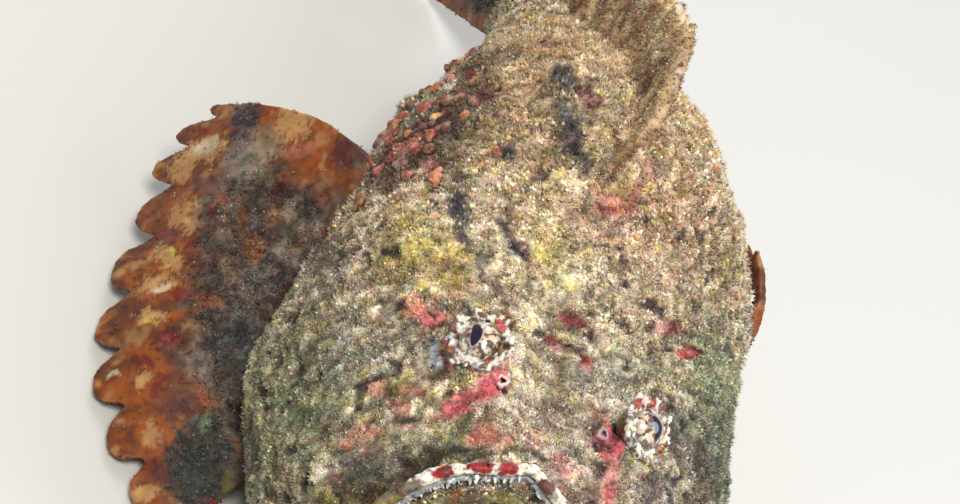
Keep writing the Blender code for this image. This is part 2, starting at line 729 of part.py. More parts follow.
def bend(points):
    """Bends straight places round the body's curve, to X (left), Y (back) and Z (up)."""
    along, side, up = points.T
    curved = np.clip(along - BEND_START, 0, BEND_LENGTH)
    turn = HEAD_TURN + BEND_TURN * curved / BEND_LENGTH
    radius = BEND_LENGTH / BEND_TURN
    ahead = np.minimum(along, BEND_START) * math.sin(HEAD_TURN)
    across = np.minimum(along, BEND_START) * math.cos(HEAD_TURN)
    beyond = np.maximum(along - BEND_START - BEND_LENGTH, 0)
    x = ahead + radius * (math.cos(HEAD_TURN) - np.cos(turn)) + beyond * np.sin(turn)
    y = across + radius * (np.sin(turn) - math.sin(HEAD_TURN)) + beyond * np.cos(turn)
    return np.stack([x + side * np.cos(turn), y - side * np.sin(turn), up], -1)


def points_of(piece):
    return np.array([vert.co for vert in piece.data.vertices])


def set_points(piece, points):
    piece.data.vertices.foreach_set("co", points.astype(np.float32).ravel())
    piece.data.update()


def pose_and_centre(pieces):
    """Bends every piece, then puts the origin on the floor under the middle of the whole."""
    bent = {piece: bend(points_of(piece)) for piece in pieces}
    everything = np.concatenate(list(bent.values()))
    middle = (everything.max(0) + everything.min(0)) / 2
    middle[2] = 0
    for piece, points in bent.items():
        set_points(piece, points - middle)


def flip_faces(piece):
    """The bend mirrors the straight shape, so every face is turned to point out again."""
    bm = bmesh.new()
    bm.from_mesh(piece.data)
    bmesh.ops.reverse_faces(bm, faces=bm.faces)
    bm.to_mesh(piece.data)
    bm.free()


def material(name):
    colour, roughness = COLOURS[name]
    made = bpy.data.materials.new(name)
    made.use_nodes = True
    shader = made.node_tree.nodes["Principled BSDF"]
    shader.inputs["Base Color"].default_value = colour
    shader.inputs["Roughness"].default_value = roughness
    return made


def paint(pieces):
    finishes = {name: material(name) for name in COLOURS}
    kinds = {"lower_jaw": "jaw", "eye": "eye", "tail": "tail", "fin": "fin"}
    for piece in pieces:
        kind = next((kinds[word] for word in kinds if word in piece.name), "skin")
        piece.data.materials.clear()
        piece.data.materials.append(finishes[kind])


def main():
    for old in list(bpy.data.objects):
        bpy.data.objects.remove(old)
    body = make_body()
    skin = Skin(body)
    add_skin_forms(body, skin)
    pieces = part_body(body, skin)
    pieces += make_eyes(pieces[0], skin)
    pieces += make_dorsal_fins(skin, body)
    pieces += make_pectoral_fins(skin, body)
    pieces.append(make_caudal_fin(body))
    pieces.append(make_anal_fin(skin, body))
    pieces.append(make_pelvic_fin(body, "pelvic_fin_left", 1))
    pieces.append(make_pelvic_fin(body, "pelvic_fin_right", -1))
    remove(body)
    pose_and_centre(pieces)
    paint(pieces)
    fish = bpy.data.collections.new("stonefish")
    bpy.context.scene.collection.children.link(fish)
    for piece in pieces:
        flip_faces(piece)
        bpy.context.scene.collection.objects.unlink(piece)
        fish.objects.link(piece)


main()
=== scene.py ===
"""Reef stonefish, life size and still: its skin, fins, eyes, mouth and coat of fine algal turf.

A place on the fish is given as along (back from the snout), side (towards the fish's left) and up,
in metres, along its bent body. Places that the camera sees are given as pixels of a 960 x 504 frame
and found on the skin by a ray from the camera.
"""

import math

import bmesh
import bpy
import numpy as np
from bpy.props import FloatProperty, FloatVectorProperty, IntProperty, PointerProperty
from mathutils import Matrix, Vector
from mathutils.bvhtree import BVHTree
from mathutils.kdtree import KDTree


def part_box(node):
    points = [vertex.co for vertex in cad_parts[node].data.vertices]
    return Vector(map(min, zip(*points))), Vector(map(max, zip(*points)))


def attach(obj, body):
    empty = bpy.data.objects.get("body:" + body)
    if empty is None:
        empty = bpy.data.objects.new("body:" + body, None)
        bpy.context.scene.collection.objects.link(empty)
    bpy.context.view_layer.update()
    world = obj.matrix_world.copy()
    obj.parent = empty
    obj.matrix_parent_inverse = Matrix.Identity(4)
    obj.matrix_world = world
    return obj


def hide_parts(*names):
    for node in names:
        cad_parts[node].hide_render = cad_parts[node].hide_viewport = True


bl_info = {
    "name": "Reef stonefish",
    "version": (1, 0, 0),
    "blender": (4, 5, 0),
    "location": "View3D > Sidebar > Stonefish",
    "description": "Builds the skin, fins, eyes, mouth and turf coat of a reef stonefish",
    "category": "Add Mesh",
}

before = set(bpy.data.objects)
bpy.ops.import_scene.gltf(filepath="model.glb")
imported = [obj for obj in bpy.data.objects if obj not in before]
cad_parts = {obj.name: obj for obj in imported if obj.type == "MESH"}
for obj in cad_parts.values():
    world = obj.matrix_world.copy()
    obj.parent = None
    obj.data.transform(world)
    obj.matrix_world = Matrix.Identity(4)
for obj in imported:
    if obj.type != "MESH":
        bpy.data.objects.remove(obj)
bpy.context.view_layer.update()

MM = 0.001
SEED = 11
FLESH = ("head", "lower_jaw", "trunk", "tail_stock")
BACK_FINS = ("dorsal_fin_spiny", "dorsal_fin_soft")
FAN_FINS = ("caudal_fin", "pectoral_fin_left", "pectoral_fin_right", "pelvic_fin_left", "pelvic_fin_right")
FINS = (*BACK_FINS, "anal_fin", *FAN_FINS)
NEAR_FIN = "pectoral_fin_right"

# The bend of the body: the head is straight, and then the trunk and tail curl to the fish's right
HEAD_TURN = math.radians(20)
BEND_START = 110 * MM
BEND_LENGTH = 195 * MM
BEND_TURN = math.radians(-34)
BEND_RADIUS = BEND_LENGTH / BEND_TURN

# The skin: how the solids run together under it, the face's folds, the turf's pits and the warts
FLESH_SWELLING = 0.28 * MM
SKIN_MARGIN = 0.1 * MM
SKIN_LOWEST = 0.02 * MM
FACE_END = (70 * MM, 95 * MM)
FOLD_SIZE = 13 * MM
FOLD_DEPTH = 1.1 * MM
PIT_SIZE = 3.0 * MM
PIT_DEPTH = 0.8 * MM
WART_HEIGHT = 0.35 * MM

# The skin's relief, from coarse to fine: texture, size of its features, height and the value that stays level
RELIEFS = (
    ("CLOUDS", 7 * MM, 1.6 * MM, 0.5),
    ("VORONOI", 3.4 * MM, -1.1 * MM, 0.35),
    ("CLOUDS", 1.8 * MM, 0.8 * MM, 0.5),
)

# How far from the eyes and the mouth's line the skin is smoothed, and how many times
LEVEL_AT_EYES = (11 * MM, 50)
LEVEL_AT_LIPS = (4.4 * MM, 12)

# The fins: how they are set in from the solids and how their roots are sunk into the skin
FIN_SWELLING = -0.1 * MM
FIN_LOWEST = 0.05 * MM
FIN_ROOT_REACH = 1.9 * MM
FIN_ROOT_DEPTH = 3.2 * MM
FIN_ROOT_MIDDLE = 3 * MM
FIN_SECTORS = 24
FAR_FIN_GRAIN = 1.35

# The eyes and the lids round them, with the colours of the rims and the shares of the flaps' colours
EYE_ALONG = 35.56 * MM
EYE_LOOK = (0.55, -0.35, 0.76)
EYE_BARE = (2 * MM, 5.0 * MM)
PUPIL = (1.25 * MM, 2.8 * MM)
PUPIL_CURVE = 0.09 / MM
LID_RADIUS = 5.7 * MM
LID_OUT = 1.4 * MM
LID_BALLS = 36
LID_FLAPS = 78
LID_VOXEL = 0.26 * MM
RIM_COLOURS = ("grey", "maroon", "umber", "rose", "white")
FLAP_COLOURS = {"white": 0.42, "cream": 0.14, "red": 0.13, "maroon": 0.1, "blue": 0.08, "umber": 0.13}

# The nostrils: their place along and to the side, and a turned profile of radii and heights in millimetres
NOSTRIL = (31 * MM, 12.3 * MM)
NOSTRIL_BARE = 1.7 * MM
NOSTRIL_SIDES = 28
NOSTRIL_PROFILE = (
    (1.9, -1.2),
    (1.6, 0.2),
    (1.4, 0.7),
    (1.1, 0.95),
    (0.8, 0.85),
    (0.62, 0.5),
    (0.5, -0.3),
    (0.2, -0.6),
)
NOSTRIL_RIM = 2
NOSTRIL_INSIDE = 5

# The mouth's arch, seen from the front, the line that is pressed in along it, and the width of the painted
# shade along that line
MOUTH_HALF_WIDTH = 26 * MM
MOUTH_CORNER_UP = 31 * MM
MOUTH_TOP_UP = 69 * MM
MOUTH_SQUARENESS = 2.2
MOUTH_AHEAD = 40 * MM
MOUTH_WAYS_WINDOW = 13
MOUTH_LINE_TURN = 0.02
MOUTH_LINE_POINTS = 400
MOUTH_LINE_WIDTH = 1.1 * MM
MOUTH_LINE_DEPTH = 3.0 * MM
MOUTH_SHADE_WIDTH = 1.6 * MM

# The lips, and the fringes: name, lip, how far inside it, how many cirri and their colours
LIP_OFFSET = 2.05 * MM
UPPER_LIP_RAISED = 0.5 * MM
LIP_TURN = math.radians(14)
LIP_POINTS = 260
LIP_VOXEL = 0.27 * MM
FRINGE_VOXEL = 0.22 * MM
LIP_BLOCK = 4.2 * MM
LIP_FRONT_UP = 50 * MM
PALE_CIRRI = ("white", "grey", "white", "blue", "white", "grey", "white", "slate")
BROWN_CIRRI = ("olive", "tan", "cream", "orange", "green")
FRINGES = (
    ("upper_fringe", LIP_OFFSET, 1.6 * MM, 210, PALE_CIRRI),
    ("lower_fringe", -LIP_OFFSET, -0.9 * MM, 50, BROWN_CIRRI),
)

# The body's middle line, which the unwrap turns round
BODY_MIDDLE_UP = 38 * MM
BODY_CAP_ALONG = 38 * MM
BODY_LENGTH = 250 * MM

# Rays to the skin start this far beside its middle line, or this far above the floor
BESIDE_FISH = 120 * MM
ABOVE_FISH = 150 * MM

# The camera: its picture's right and up, as parts of the fish's left, its back and straight up
PICTURE_WIDE = 960
PICTURE_HIGH = 504
SENSOR = 36.0
CAMERA_RIGHT = (0.874, 0.17, 0.455)
CAMERA_UP = (-0.465, 0.566, 0.681)
CAMERA_AWAY = 500 * MM
PICTURE_SPAN = 206 * MM
AIM_RIGHT = -17.4 * MM
AIM_UP = 29.1 * MM

# What the camera sees, with a margin: parts of the picture's span, and how far behind the skin's front
SEEN_ACROSS = 0.53
SEEN_UPWARD = 0.3
SEEN_DEPTH = 14 * MM

# The stage: each lamp's place, width, power and colour, and the colours of the floor and the room
LAMPS = {
    "key": ((-0.35, -0.75, 1.15), 0.5, 17, (1.0, 0.96, 0.9)),
    "fill": ((0.9, -0.35, 0.8), 0.9, 8, (0.9, 0.95, 1.0)),
    "rim": ((0.1, 1.0, 0.9), 0.8, 7, (1.0, 0.98, 0.95)),
}
LAMPS_AIM = (0, 0, 0.05)
FLOOR_WIDTH = 6
FLOOR_TINT = (0.62, 0.61, 0.58, 1)
ROOM_TINT = (0.9, 0.94, 1.0, 1)
ROOM_STRENGTH = 0.35

# Finishes: how rough, how large and strong the speckles are, how large and high the bumps are, the sheen
# and how much light goes into the flesh
FINISHES = {
    "turfed skin": (0.72, 0.9 * MM, 0.45, 0.5 * MM, 0.35 * MM, 0, 0),
    "fin flesh": (0.5, 2.2 * MM, 0.2, 0.6 * MM, 0.12 * MM, 0, 0.15),
    "wet eye": (0.16, 0.5 * MM, 0.12, 0.3 * MM, 0.01 * MM, 0, 0),
    "frilled lid": (0.45, 0.6 * MM, 0.2, 0.3 * MM, 0.08 * MM, 0, 0.25),
    "lip flesh": (0.42, 0.5 * MM, 0.3, 0.3 * MM, 0.12 * MM, 0, 0.2),
    "nodule": (0.42, 0.8 * MM, 0.35, 0.4 * MM, 0.1 * MM, 0, 0.2),
    "algal turf": (0.74, 0.35 * MM, 0.22, 0.2 * MM, 0.05 * MM, 0.1, 0),
}

# The turf coat: a filament has three corners at its foot and a tip, and a granule four corners round it,
# a top and a foot. Each corner's painted light is how light it is painted: feet darker as painted shade,
# tips and tops lighter as painted light. A share of the tufts is granular
STRANDS = 3
FILAMENT_FACES = ((0, 1, 3), (1, 2, 3), (2, 0, 3), (2, 1, 0))
FILAMENT_PAINTED_LIGHT = (0.45, 0.45, 0.45, 1.2)
GRANULE_FACES = ((0, 1, 4), (1, 2, 4), (2, 3, 4), (3, 0, 4), (1, 0, 5), (2, 1, 5), (3, 2, 5), (0, 3, 5))
GRANULE_PAINTED_LIGHT = (0.75, 0.75, 0.75, 0.75, 1.1, 0.4)
GRANULAR_SHARE = 0.3
TRIANGLES_PER_TUFT = 10.5
MOST_TRIANGLES = 185000
COAT_LOWEST = 0.01 * MM
FIN_TUFT_LENGTH = 0.9 * MM
BAKE_PATCH = 0.003

# Tufts of other colours among the rest: from which share to which, the colour and how fully it covers
TUFT_SPECKS = (
    # White tufts: pale grains, and also painted sparkles of light
    (0.00, 0.03, "white", 0.8),
    (0.03, 0.12, "umber", 0.7),
    (0.12, 0.14, "black", 0.7),
    (0.14, 0.16, "red", 0.5),
    (0.16, 0.18, "orange", 0.5),
    (0.18, 0.26, "cream", 0.7),
    (0.26, 0.28, "olive", 0.6),
)

# Colours of the turf's small cells, and the share of the cells that have each
TURF_CELLS = (
    ("cream", 0.26),
    ("tan", 0.14),
    ("rose", 0.14),
    ("grey", 0.12),
    ("olive", 0.07),
    ("green", 0.08),
    ("yellow", 0.045),
    ("orange", 0.03),
    ("rust", 0.06),
    ("slate", 0.05),
    ("white", 0.03),
)

# Markings that the camera sees: colour, the pixel they are centred on, half their width and height
# in millimetres, their turn in degrees anticlockwise, and how fully they cover. First the wide zones
ZONES = (
    ("gold", 600, 40, 38, 14, 0, 0.8),
    ("rust", 530, 50, 7, 5, 20, 0.4),
    ("gold", 520, 85, 9, 8, 0, 0.6),
    ("gold", 690, 110, 14, 16, 0, 0.6),
    ("gold", 520, 130, 12, 10, 0, 0.45),
    ("gold", 410, 200, 8, 6, 30, 0.5),
    ("cream", 570, 295, 22, 11, 0, 0.6),
    ("cream", 552, 400, 13, 10, 0, 0.6),
    ("rose", 530, 425, 8, 5, 0, 0.4),
    ("rose", 500, 290, 7, 4, 0, 0.35),
    ("cream", 470, 195, 8, 8, 0, 0.4),
    ("green", 266, 400, 13, 24, 0, 0.65),
    ("green", 325, 375, 12, 16, 0, 0.5),
    ("green", 425, 455, 12, 6, 10, 0.6),
    ("green", 722, 440, 12, 24, 0, 0.85),
    ("teal", 722, 446, 7, 19, 0, 0.4),
    ("green", 700, 340, 8, 12, 0, 0.4),
    ("slate", 705, 478, 7, 8, 0, 0.6),
    ("yellow", 422, 250, 11, 8, 0, 0.4),
    ("yellow", 548, 250, 7, 7, 0, 0.35),
    ("cream", 620, 330, 9, 7, 0, 0.4),
    ("grey", 610, 375, 12, 7, 0, 0.5),
    ("grey", 420, 490, 14, 5, 0, 0.35),
    ("salmon", 655, 235, 15, 18, 0, 0.26),
    ("rose", 615, 205, 14, 10, 0, 0.3),
    # Left of the mouth: darker, greener marks, partly the turf's own colour and partly painted shade in the
    # hollow there
    ("green", 318, 462, 8, 7, 0, 0.55),
    ("teal", 357, 477, 5.5, 5.5, 0, 0.75),
    ("umber", 404, 474, 5.5, 3.6, 20, 0.75),
    ("umber", 366, 498, 8, 4, 0, 0.85),
    ("olive", 330, 498, 6, 3, 0, 0.6),
    ("slate", 249, 450, 3, 6, 0, 0.6),
    ("blue", 610, 430, 26, 15, 0, 0.34),
    ("blue", 372, 352, 12, 9, 0, 0.26),
    ("blue", 545, 470, 9, 6, 0, 0.25),
    ("slate", 682, 455, 7, 7, 0, 0.25),
    ("slate", 660, 497, 9, 4.5, 0, 0.65),
    ("slate", 566, 110, 4.6, 13, 4, 0.5),
    # Umber along the crevice beside the nodules, partly colour and partly painted shade
    ("umber", 480, 60, 6.0, 10, -30, 0.8),
    ("slate", 503, 155, 2.2, 2.6, 0, 0.8),
    ("slate", 318, 262, 7, 10, 0, 0.6),
    ("umber", 334, 248, 5, 8, 0, 0.5),
    ("umber", 425, 330, 8, 6, 0, 0.5),
    # Umber along the crevice beneath the nodules, partly colour and partly painted shade
    ("umber", 430, 132, 8, 17, -52, 0.85),
    ("maroon", 395, 162, 6, 9, -52, 0.7),
    ("rust", 468, 94, 7, 10, -40, 0.75),
    # A slate mark in the hollow left of the mouth, partly painted shade
    ("slate", 366, 446, 8, 7, 0, 0.45),
)

# Patches of the skin
PATCHES = (
    ("yellow", 432, 252, 7.0, 3.4, -6, 0.9),
    ("yellow", 410, 222, 4.4, 2.8, 30, 0.75),
    ("gold", 440, 262, 3.4, 1.6, -20, 0.5),
    ("yellow", 452, 280, 4.2, 2.6, 40, 0.7),
    ("yellow", 545, 248, 3.0, 3.4, 0, 0.75),
    ("yellow", 380, 258, 3.4, 2.2, 0, 0.6),
    ("olive", 398, 385, 3.2, 2.6, 0, 0.8),
    ("olive", 468, 422, 1.6, 1.2, 0, 0.8),
    ("olive", 725, 268, 2.4, 5.0, 0, 0.6),
    ("pink", 488, 384, 7.0, 3.3, 38, 1.0),
    ("pink", 456, 408, 4.6, 2.4, 30, 0.95),
    ("rose", 450, 400, 1.6, 1.0, 30, 0.7),
    ("rose", 478, 378, 2.4, 0.9, 40, 0.5),
    ("salmon", 484, 434, 3.2, 2.0, 0, 0.85),
    ("pink", 472, 438, 2.0, 1.4, 0, 0.7),
    ("salmon", 503, 438, 3.4, 1.6, 10, 0.6),
    ("salmon", 402, 396, 4.0, 2.2, 20, 0.6),
    ("salmon", 346, 445, 1.7, 1.8, 0, 0.85),
    ("maroon", 364, 455, 1.5, 1.3, 0, 0.85),
    ("maroon", 340, 478, 1.6, 1.4, 0, 0.7),
    ("grey", 330, 467, 2.6, 1.5, 10, 0.8),
    ("white", 322, 472, 1.2, 0.8, 40, 0.7),
    ("grey", 393, 464, 2.2, 2.6, 0, 0.6),
    ("rust", 254, 471, 1.6, 1.0, 0, 0.7),
    ("red", 400, 411, 1.8, 2.2, 0, 0.75),
    ("red", 424, 393, 1.5, 1.5, 0, 0.75),
    ("maroon", 677, 449, 3.4, 4.2, 20, 0.5),
    ("violet", 669, 431, 2.4, 1.8, 0, 0.7),
    ("rose", 562, 468, 4.4, 3.0, 0, 0.5),
    ("pink", 563, 464, 1.8, 2.6, 0, 0.6),
    ("salmon", 375, 385, 3.4, 2.2, 0, 0.7),
    ("pink", 610, 444, 3.8, 4.6, 0, 1.0),
    ("pink", 612, 480, 2.2, 6.4, -12, 0.95),
    ("rust", 602, 468, 1.6, 1.2, 0, 0.8),
    ("salmon", 600, 415, 2.8, 2.2, 0, 0.6),
    ("salmon", 618, 196, 4.8, 5.6, 10, 0.8),
    ("pink", 624, 178, 3.8, 2.2, 0, 0.9),
    ("red", 608, 212, 2.4, 1.8, 0, 0.8),
    ("rose", 645, 168, 2.6, 3.6, 0, 0.7),
    ("salmon", 540, 440, 3.2, 3.0, 0, 0.45),
    ("red", 553, 343, 2.4, 1.9, -20, 1.0),
    ("maroon", 568, 347, 2.8, 0.9, -30, 0.9),
    ("red", 583, 360, 2.2, 2.0, 30, 1.0),
    ("red", 572, 322, 2.6, 1.8, 0, 0.95),
    ("red", 589, 333, 0.9, 0.8, 0, 0.9),
    ("white", 584, 340, 0.8, 0.8, 0, 0.7),
    ("white", 556, 352, 1.2, 0.6, 0, 0.6),
    ("white", 586, 370, 1.6, 0.7, 0, 0.6),
    ("maroon", 668, 328, 6.4, 1.8, -8, 0.95),
    ("rose", 664, 332, 2.4, 0.9, -14, 0.7),
    ("maroon", 692, 353, 4.2, 1.6, -4, 0.95),
    ("red", 672, 337, 2.0, 1.3, 0, 0.9),
    ("red", 685, 353, 2.8, 1.2, 0, 0.9),
    ("pink", 434, 318, 3.4, 3.0, 20, 0.85),
    ("maroon", 440, 328, 2.0, 1.6, 20, 0.9),
    ("salmon", 413, 304, 3.6, 2.4, 0, 0.8),
    ("maroon", 445, 362, 2.0, 3.4, 0, 0.9),
    ("blue", 432, 350, 1.1, 4.4, 14, 1.0),
    ("salmon", 365, 430, 4.0, 2.2, 0, 0.6),
    ("maroon", 485, 95, 2.0, 3.0, 0, 0.8),
    ("slate", 562, 78, 3.4, 4.6, 0, 0.9),
    ("teal", 560, 106, 2.8, 4.0, 0, 0.6),
    ("blue", 563, 118, 1.6, 2.0, 0, 0.5),
    ("slate", 570, 134, 3.0, 4.6, 0, 0.85),
    ("teal", 573, 156, 2.4, 2.6, 0, 0.7),
    ("maroon", 590, 96, 2.8, 4.2, 30, 0.85),
    ("maroon", 428, 126, 3.4, 8.0, -52, 0.85),
    ("rust", 448, 100, 3.0, 6.0, -45, 0.8),
    ("maroon", 402, 152, 3.6, 5.0, -52, 0.85),
    ("violet", 587, 168, 1.8, 3.6, 0, 0.8),
    ("slate", 505, 157, 2.6, 2.6, 0, 0.85),
    ("gold", 486, 160, 3.0, 2.0, 20, 0.7),
    ("salmon", 492, 152, 1.6, 1.6, 0, 0.7),
    ("red", 432, 168, 2.2, 2.6, 20, 0.8),
    ("maroon", 458, 178, 1.6, 1.6, 0, 0.8),
    ("umber", 640, 60, 3.0, 3.4, 0, 0.6),
    ("red", 470, 75, 1.8, 2.8, 20, 0.8),
    ("salmon", 405, 150, 5.2, 3.2, 40, 0.75),
    ("maroon", 328, 236, 4.0, 3.0, 0, 0.6),
    ("slate", 459, 212, 2.8, 6.0, 4, 0.85),
    ("violet", 507, 232, 1.3, 4.2, 38, 0.95),
    ("violet", 522, 253, 2.0, 2.2, 30, 0.95),
    ("blue", 505, 246, 0.9, 3.2, 38, 0.6),
    ("violet", 460, 205, 1.6, 4.6, 0, 0.7),
    ("violet", 463, 238, 2.2, 1.4, -10, 0.85),
    ("slate", 482, 262, 2.0, 2.6, 0, 0.6),
    ("rust", 655, 300, 2.4, 1.4, 0, 0.5),
    ("salmon", 560, 500, 3.0, 3.0, 0, 0.6),
    ("maroon", 590, 495, 2.0, 2.4, 0, 0.7),
    ("umber", 701, 468, 1.5, 9.0, 0, 0.85),
    ("black", 688, 500, 3.0, 2.4, 0, 0.6),
    # Painted shadow: a dark line in the crevice above the upper lip
    ("umber", 412, 474, 3.4, 1.6, 34, 0.95),
    ("umber", 440, 456, 4.2, 1.1, 14, 0.95),
    ("black", 436, 460, 2.4, 0.6, 14, 0.6),
    ("umber", 472, 449, 4.0, 0.8, 4, 0.85),
    ("umber", 507, 450, 3.6, 0.8, -6, 0.85),
    ("umber", 538, 459, 2.6, 0.9, -30, 0.85),
)

# Patches of the lids
EYE_PATCHES = (
    ("slate", 455, 312, 2.0, 1.4, 0, 0.8),
    ("umber", 478, 307, 2.4, 1.6, 0, 0.9),
    ("cream", 490, 305, 1.6, 1.2, 0, 0.8),
    ("maroon", 450, 327, 1.5, 1.0, -10, 1.0),
    ("maroon", 442, 344, 0.8, 1.4, 20, 0.95),
    ("red", 452, 349, 1.0, 0.7, 0, 1.0),
    ("white", 446, 334, 0.7, 2.6, 0, 0.95),
    ("white", 457, 312, 0.9, 0.8, 0, 1.0),
    ("white", 462, 357, 2.4, 0.8, -20, 0.95),
    ("white", 482, 356, 2.6, 0.8, 14, 0.95),
    ("white", 489, 331, 1.9, 1.4, 0, 0.95),
    ("white", 510, 340, 1.3, 1.0, 0, 0.9),
    ("pink", 502, 326, 1.0, 2.2, 25, 0.95),
    ("maroon", 503, 343, 1.2, 1.2, 0, 0.9),
    ("maroon", 485, 346, 1.2, 0.8, 0, 0.8),
    ("red", 640, 403, 1.4, 1.2, 0, 1.0),
    ("pink", 654, 404, 1.3, 1.5, 0, 0.95),
    ("white", 645, 411, 2.2, 0.8, -10, 0.95),
    ("red", 639, 417, 0.8, 1.4, 0, 0.95),
    ("white", 657, 420, 1.0, 2.2, 0, 0.9),
    ("red", 650, 425, 0.8, 1.9, 20, 1.0),
    ("white", 632, 421, 0.9, 1.9, 20, 0.95),
    ("blue", 669, 425, 1.1, 0.9, 0, 0.9),
    ("white", 637, 456, 2.3, 0.7, 0, 0.9),
    ("olive", 626, 407, 1.2, 1.6, 0, 0.5),
    ("maroon", 680, 446, 1.6, 2.2, 0, 0.8),
)

# Patches of the fin nearest the camera
FIN_PATCHES = (
    ("slate", 245, 120, 4.0, 10.0, 0, 0.75),
    ("gold", 296, 112, 5.0, 8.0, 0, 0.85),
    ("violet", 268, 275, 5.0, 8.0, 0, 0.45),
    ("slate", 240, 335, 6.0, 5.0, 30, 0.7),
    ("teal", 202, 458, 8.0, 12.0, 0, 0.9),
    ("black", 212, 440, 3.0, 8.0, 10, 0.5),
    ("maroon", 232, 265, 4.0, 6.0, 0, 0.5),
    ("gold", 204, 150, 6.4, 3.4, 15, 0.9),
    ("cream", 206, 147, 4.0, 1.8, 15, 0.8),
    ("gold", 181, 168, 3.6, 4.4, 0, 0.8),
    ("red", 200, 131, 1.8, 0.9, 0, 0.95),
    ("red", 197, 109, 1.2, 1.0, 0, 0.8),
    ("gold", 192, 216, 2.4, 5.0, 10, 0.85),
    ("gold", 166, 256, 5.0, 2.2, -30, 0.85),
    ("yellow", 173, 252, 1.6, 0.9, -20, 0.7),
    ("gold", 158, 284, 5.6, 2.2, 14, 0.85),
    ("cream", 161, 288, 2.6, 0.8, 10, 0.8),
    ("gold", 152, 317, 4.0, 1.7, 0, 0.9),
    ("yellow", 150, 321, 2.0, 0.8, 0, 0.7),
    ("gold", 143, 380, 1.5, 2.6, 0, 0.85),
    ("cream", 113, 374, 1.6, 0.8, 10, 0.8),
    ("gold", 151, 434, 2.2, 3.0, 20, 0.7),
    ("gold", 144, 493, 3.4, 1.6, 0, 0.85),
    ("maroon", 207, 264, 2.6, 3.0, 0, 0.9),
    ("maroon", 208, 214, 1.5, 2.4, 0, 0.9),
    ("red", 182, 294, 2.6, 1.7, 0, 0.9),
    ("red", 192, 242, 1.8, 1.2, 0, 0.8),
    ("maroon", 168, 338, 3.8, 2.8, 0, 0.9),
    ("red", 171, 339, 2.6, 2.0, 0, 0.8),
    ("rose", 243, 186, 1.6, 1.6, 0, 0.6),
    ("rust", 247, 210, 1.0, 3.4, 0, 0.85),
    ("rust", 273, 218, 2.4, 3.2, 0, 0.85),
    ("orange", 276, 208, 0.9, 1.6, 0, 0.8),
    ("red", 285, 183, 1.1, 1.3, 0, 0.9),
    ("maroon", 272, 244, 2.0, 2.8, 0, 0.85),
    ("maroon", 238, 237, 1.6, 1.4, 0, 0.8),
    ("violet", 254, 278, 2.4, 3.6, 0, 0.6),
    ("red", 211, 208, 0.9, 1.8, 0, 0.85),
    ("rust", 226, 248, 1.3, 2.6, 0, 0.8),
    ("orange", 217, 401, 1.2, 1.5, 0, 0.85),
    ("green", 206, 421, 1.8, 2.2, 0, 0.6),
    ("olive", 227, 484, 1.6, 3.6, 0, 0.45),
    ("maroon", 228, 352, 1.6, 1.4, 0, 0.6),
    ("rust", 182, 377, 3.9, 3.0, 0, 0.9),
    ("orange", 210, 300, 2.6, 2.6, 0, 0.85),
    ("orange", 254, 250, 2.6, 3.6, 0, 0.85),
    ("orange", 241, 222, 1.1, 3.0, 0, 0.85),
    ("salmon", 223, 197, 2.0, 2.2, 0, 0.85),
    ("blue", 254, 222, 1.3, 1.9, 0, 0.7),
    ("violet", 176, 408, 3.6, 2.2, 0, 0.75),
    ("maroon", 196, 186, 1.1, 2.4, 0, 0.8),
    ("salmon", 300, 150, 4.6, 2.0, 10, 0.8),
    ("grey", 243, 158, 6, 7, 0, 0.5),
    ("tan", 268, 142, 5, 5, 0, 0.5),
    ("orange", 176, 204, 4.5, 5.5, 0, 0.7),
    ("gold", 181, 213, 3.2, 4.0, 0, 0.6),
    ("rust", 178, 398, 5.0, 5.0, 0, 0.65),
    ("maroon", 190, 404, 2.6, 2.6, 0, 0.6),
    # Where the fin's root meets the body: dark red and umber, partly the fin's colour and partly painted
    # shade
    ("maroon", 352, 150, 4.6, 5.5, 0, 0.85),
    ("umber", 361, 160, 2.6, 4.0, 0, 0.7),
)

# Patches of the upper lip, whose pixel rows are counted down from the lip's line
LIP_PATCHES = (
    ("umber", 408, 2, 3.2, 2.6, 34, 0.85),
    ("umber", 388, 0, 4.2, 3.4, 40, 0.88),
    ("olive", 381, 3, 2.2, 1.8, 40, 0.5),
    ("maroon", 393, 5, 1.3, 1.0, 40, 0.6),
    ("olive", 398, 6, 1.6, 1.4, 0, 0.6),
    ("red", 443, 0, 2.4, 1.8, 12, 1.0),
    ("red", 441, 8, 0.8, 1.4, 0, 0.95),
    ("maroon", 447, -3, 1.2, 0.7, 12, 0.8),
    ("red", 480, -1, 2.9, 1.7, 4, 1.0),
    ("maroon", 487, -4, 1.0, 0.7, 0, 0.7),
    ("red", 509, -1, 2.4, 1.7, -6, 1.0),
    ("maroon", 513, 0, 0.8, 0.8, 0, 0.7),
    ("maroon", 547, 0, 1.9, 2.2, -30, 0.95),
    ("umber", 549, 4, 1.6, 1.4, -30, 0.7),
    ("red", 574, 1, 1.4, 1.6, -40, 0.95),
    ("slate", 530, 5, 1.2, 0.5, -20, 0.6),
)

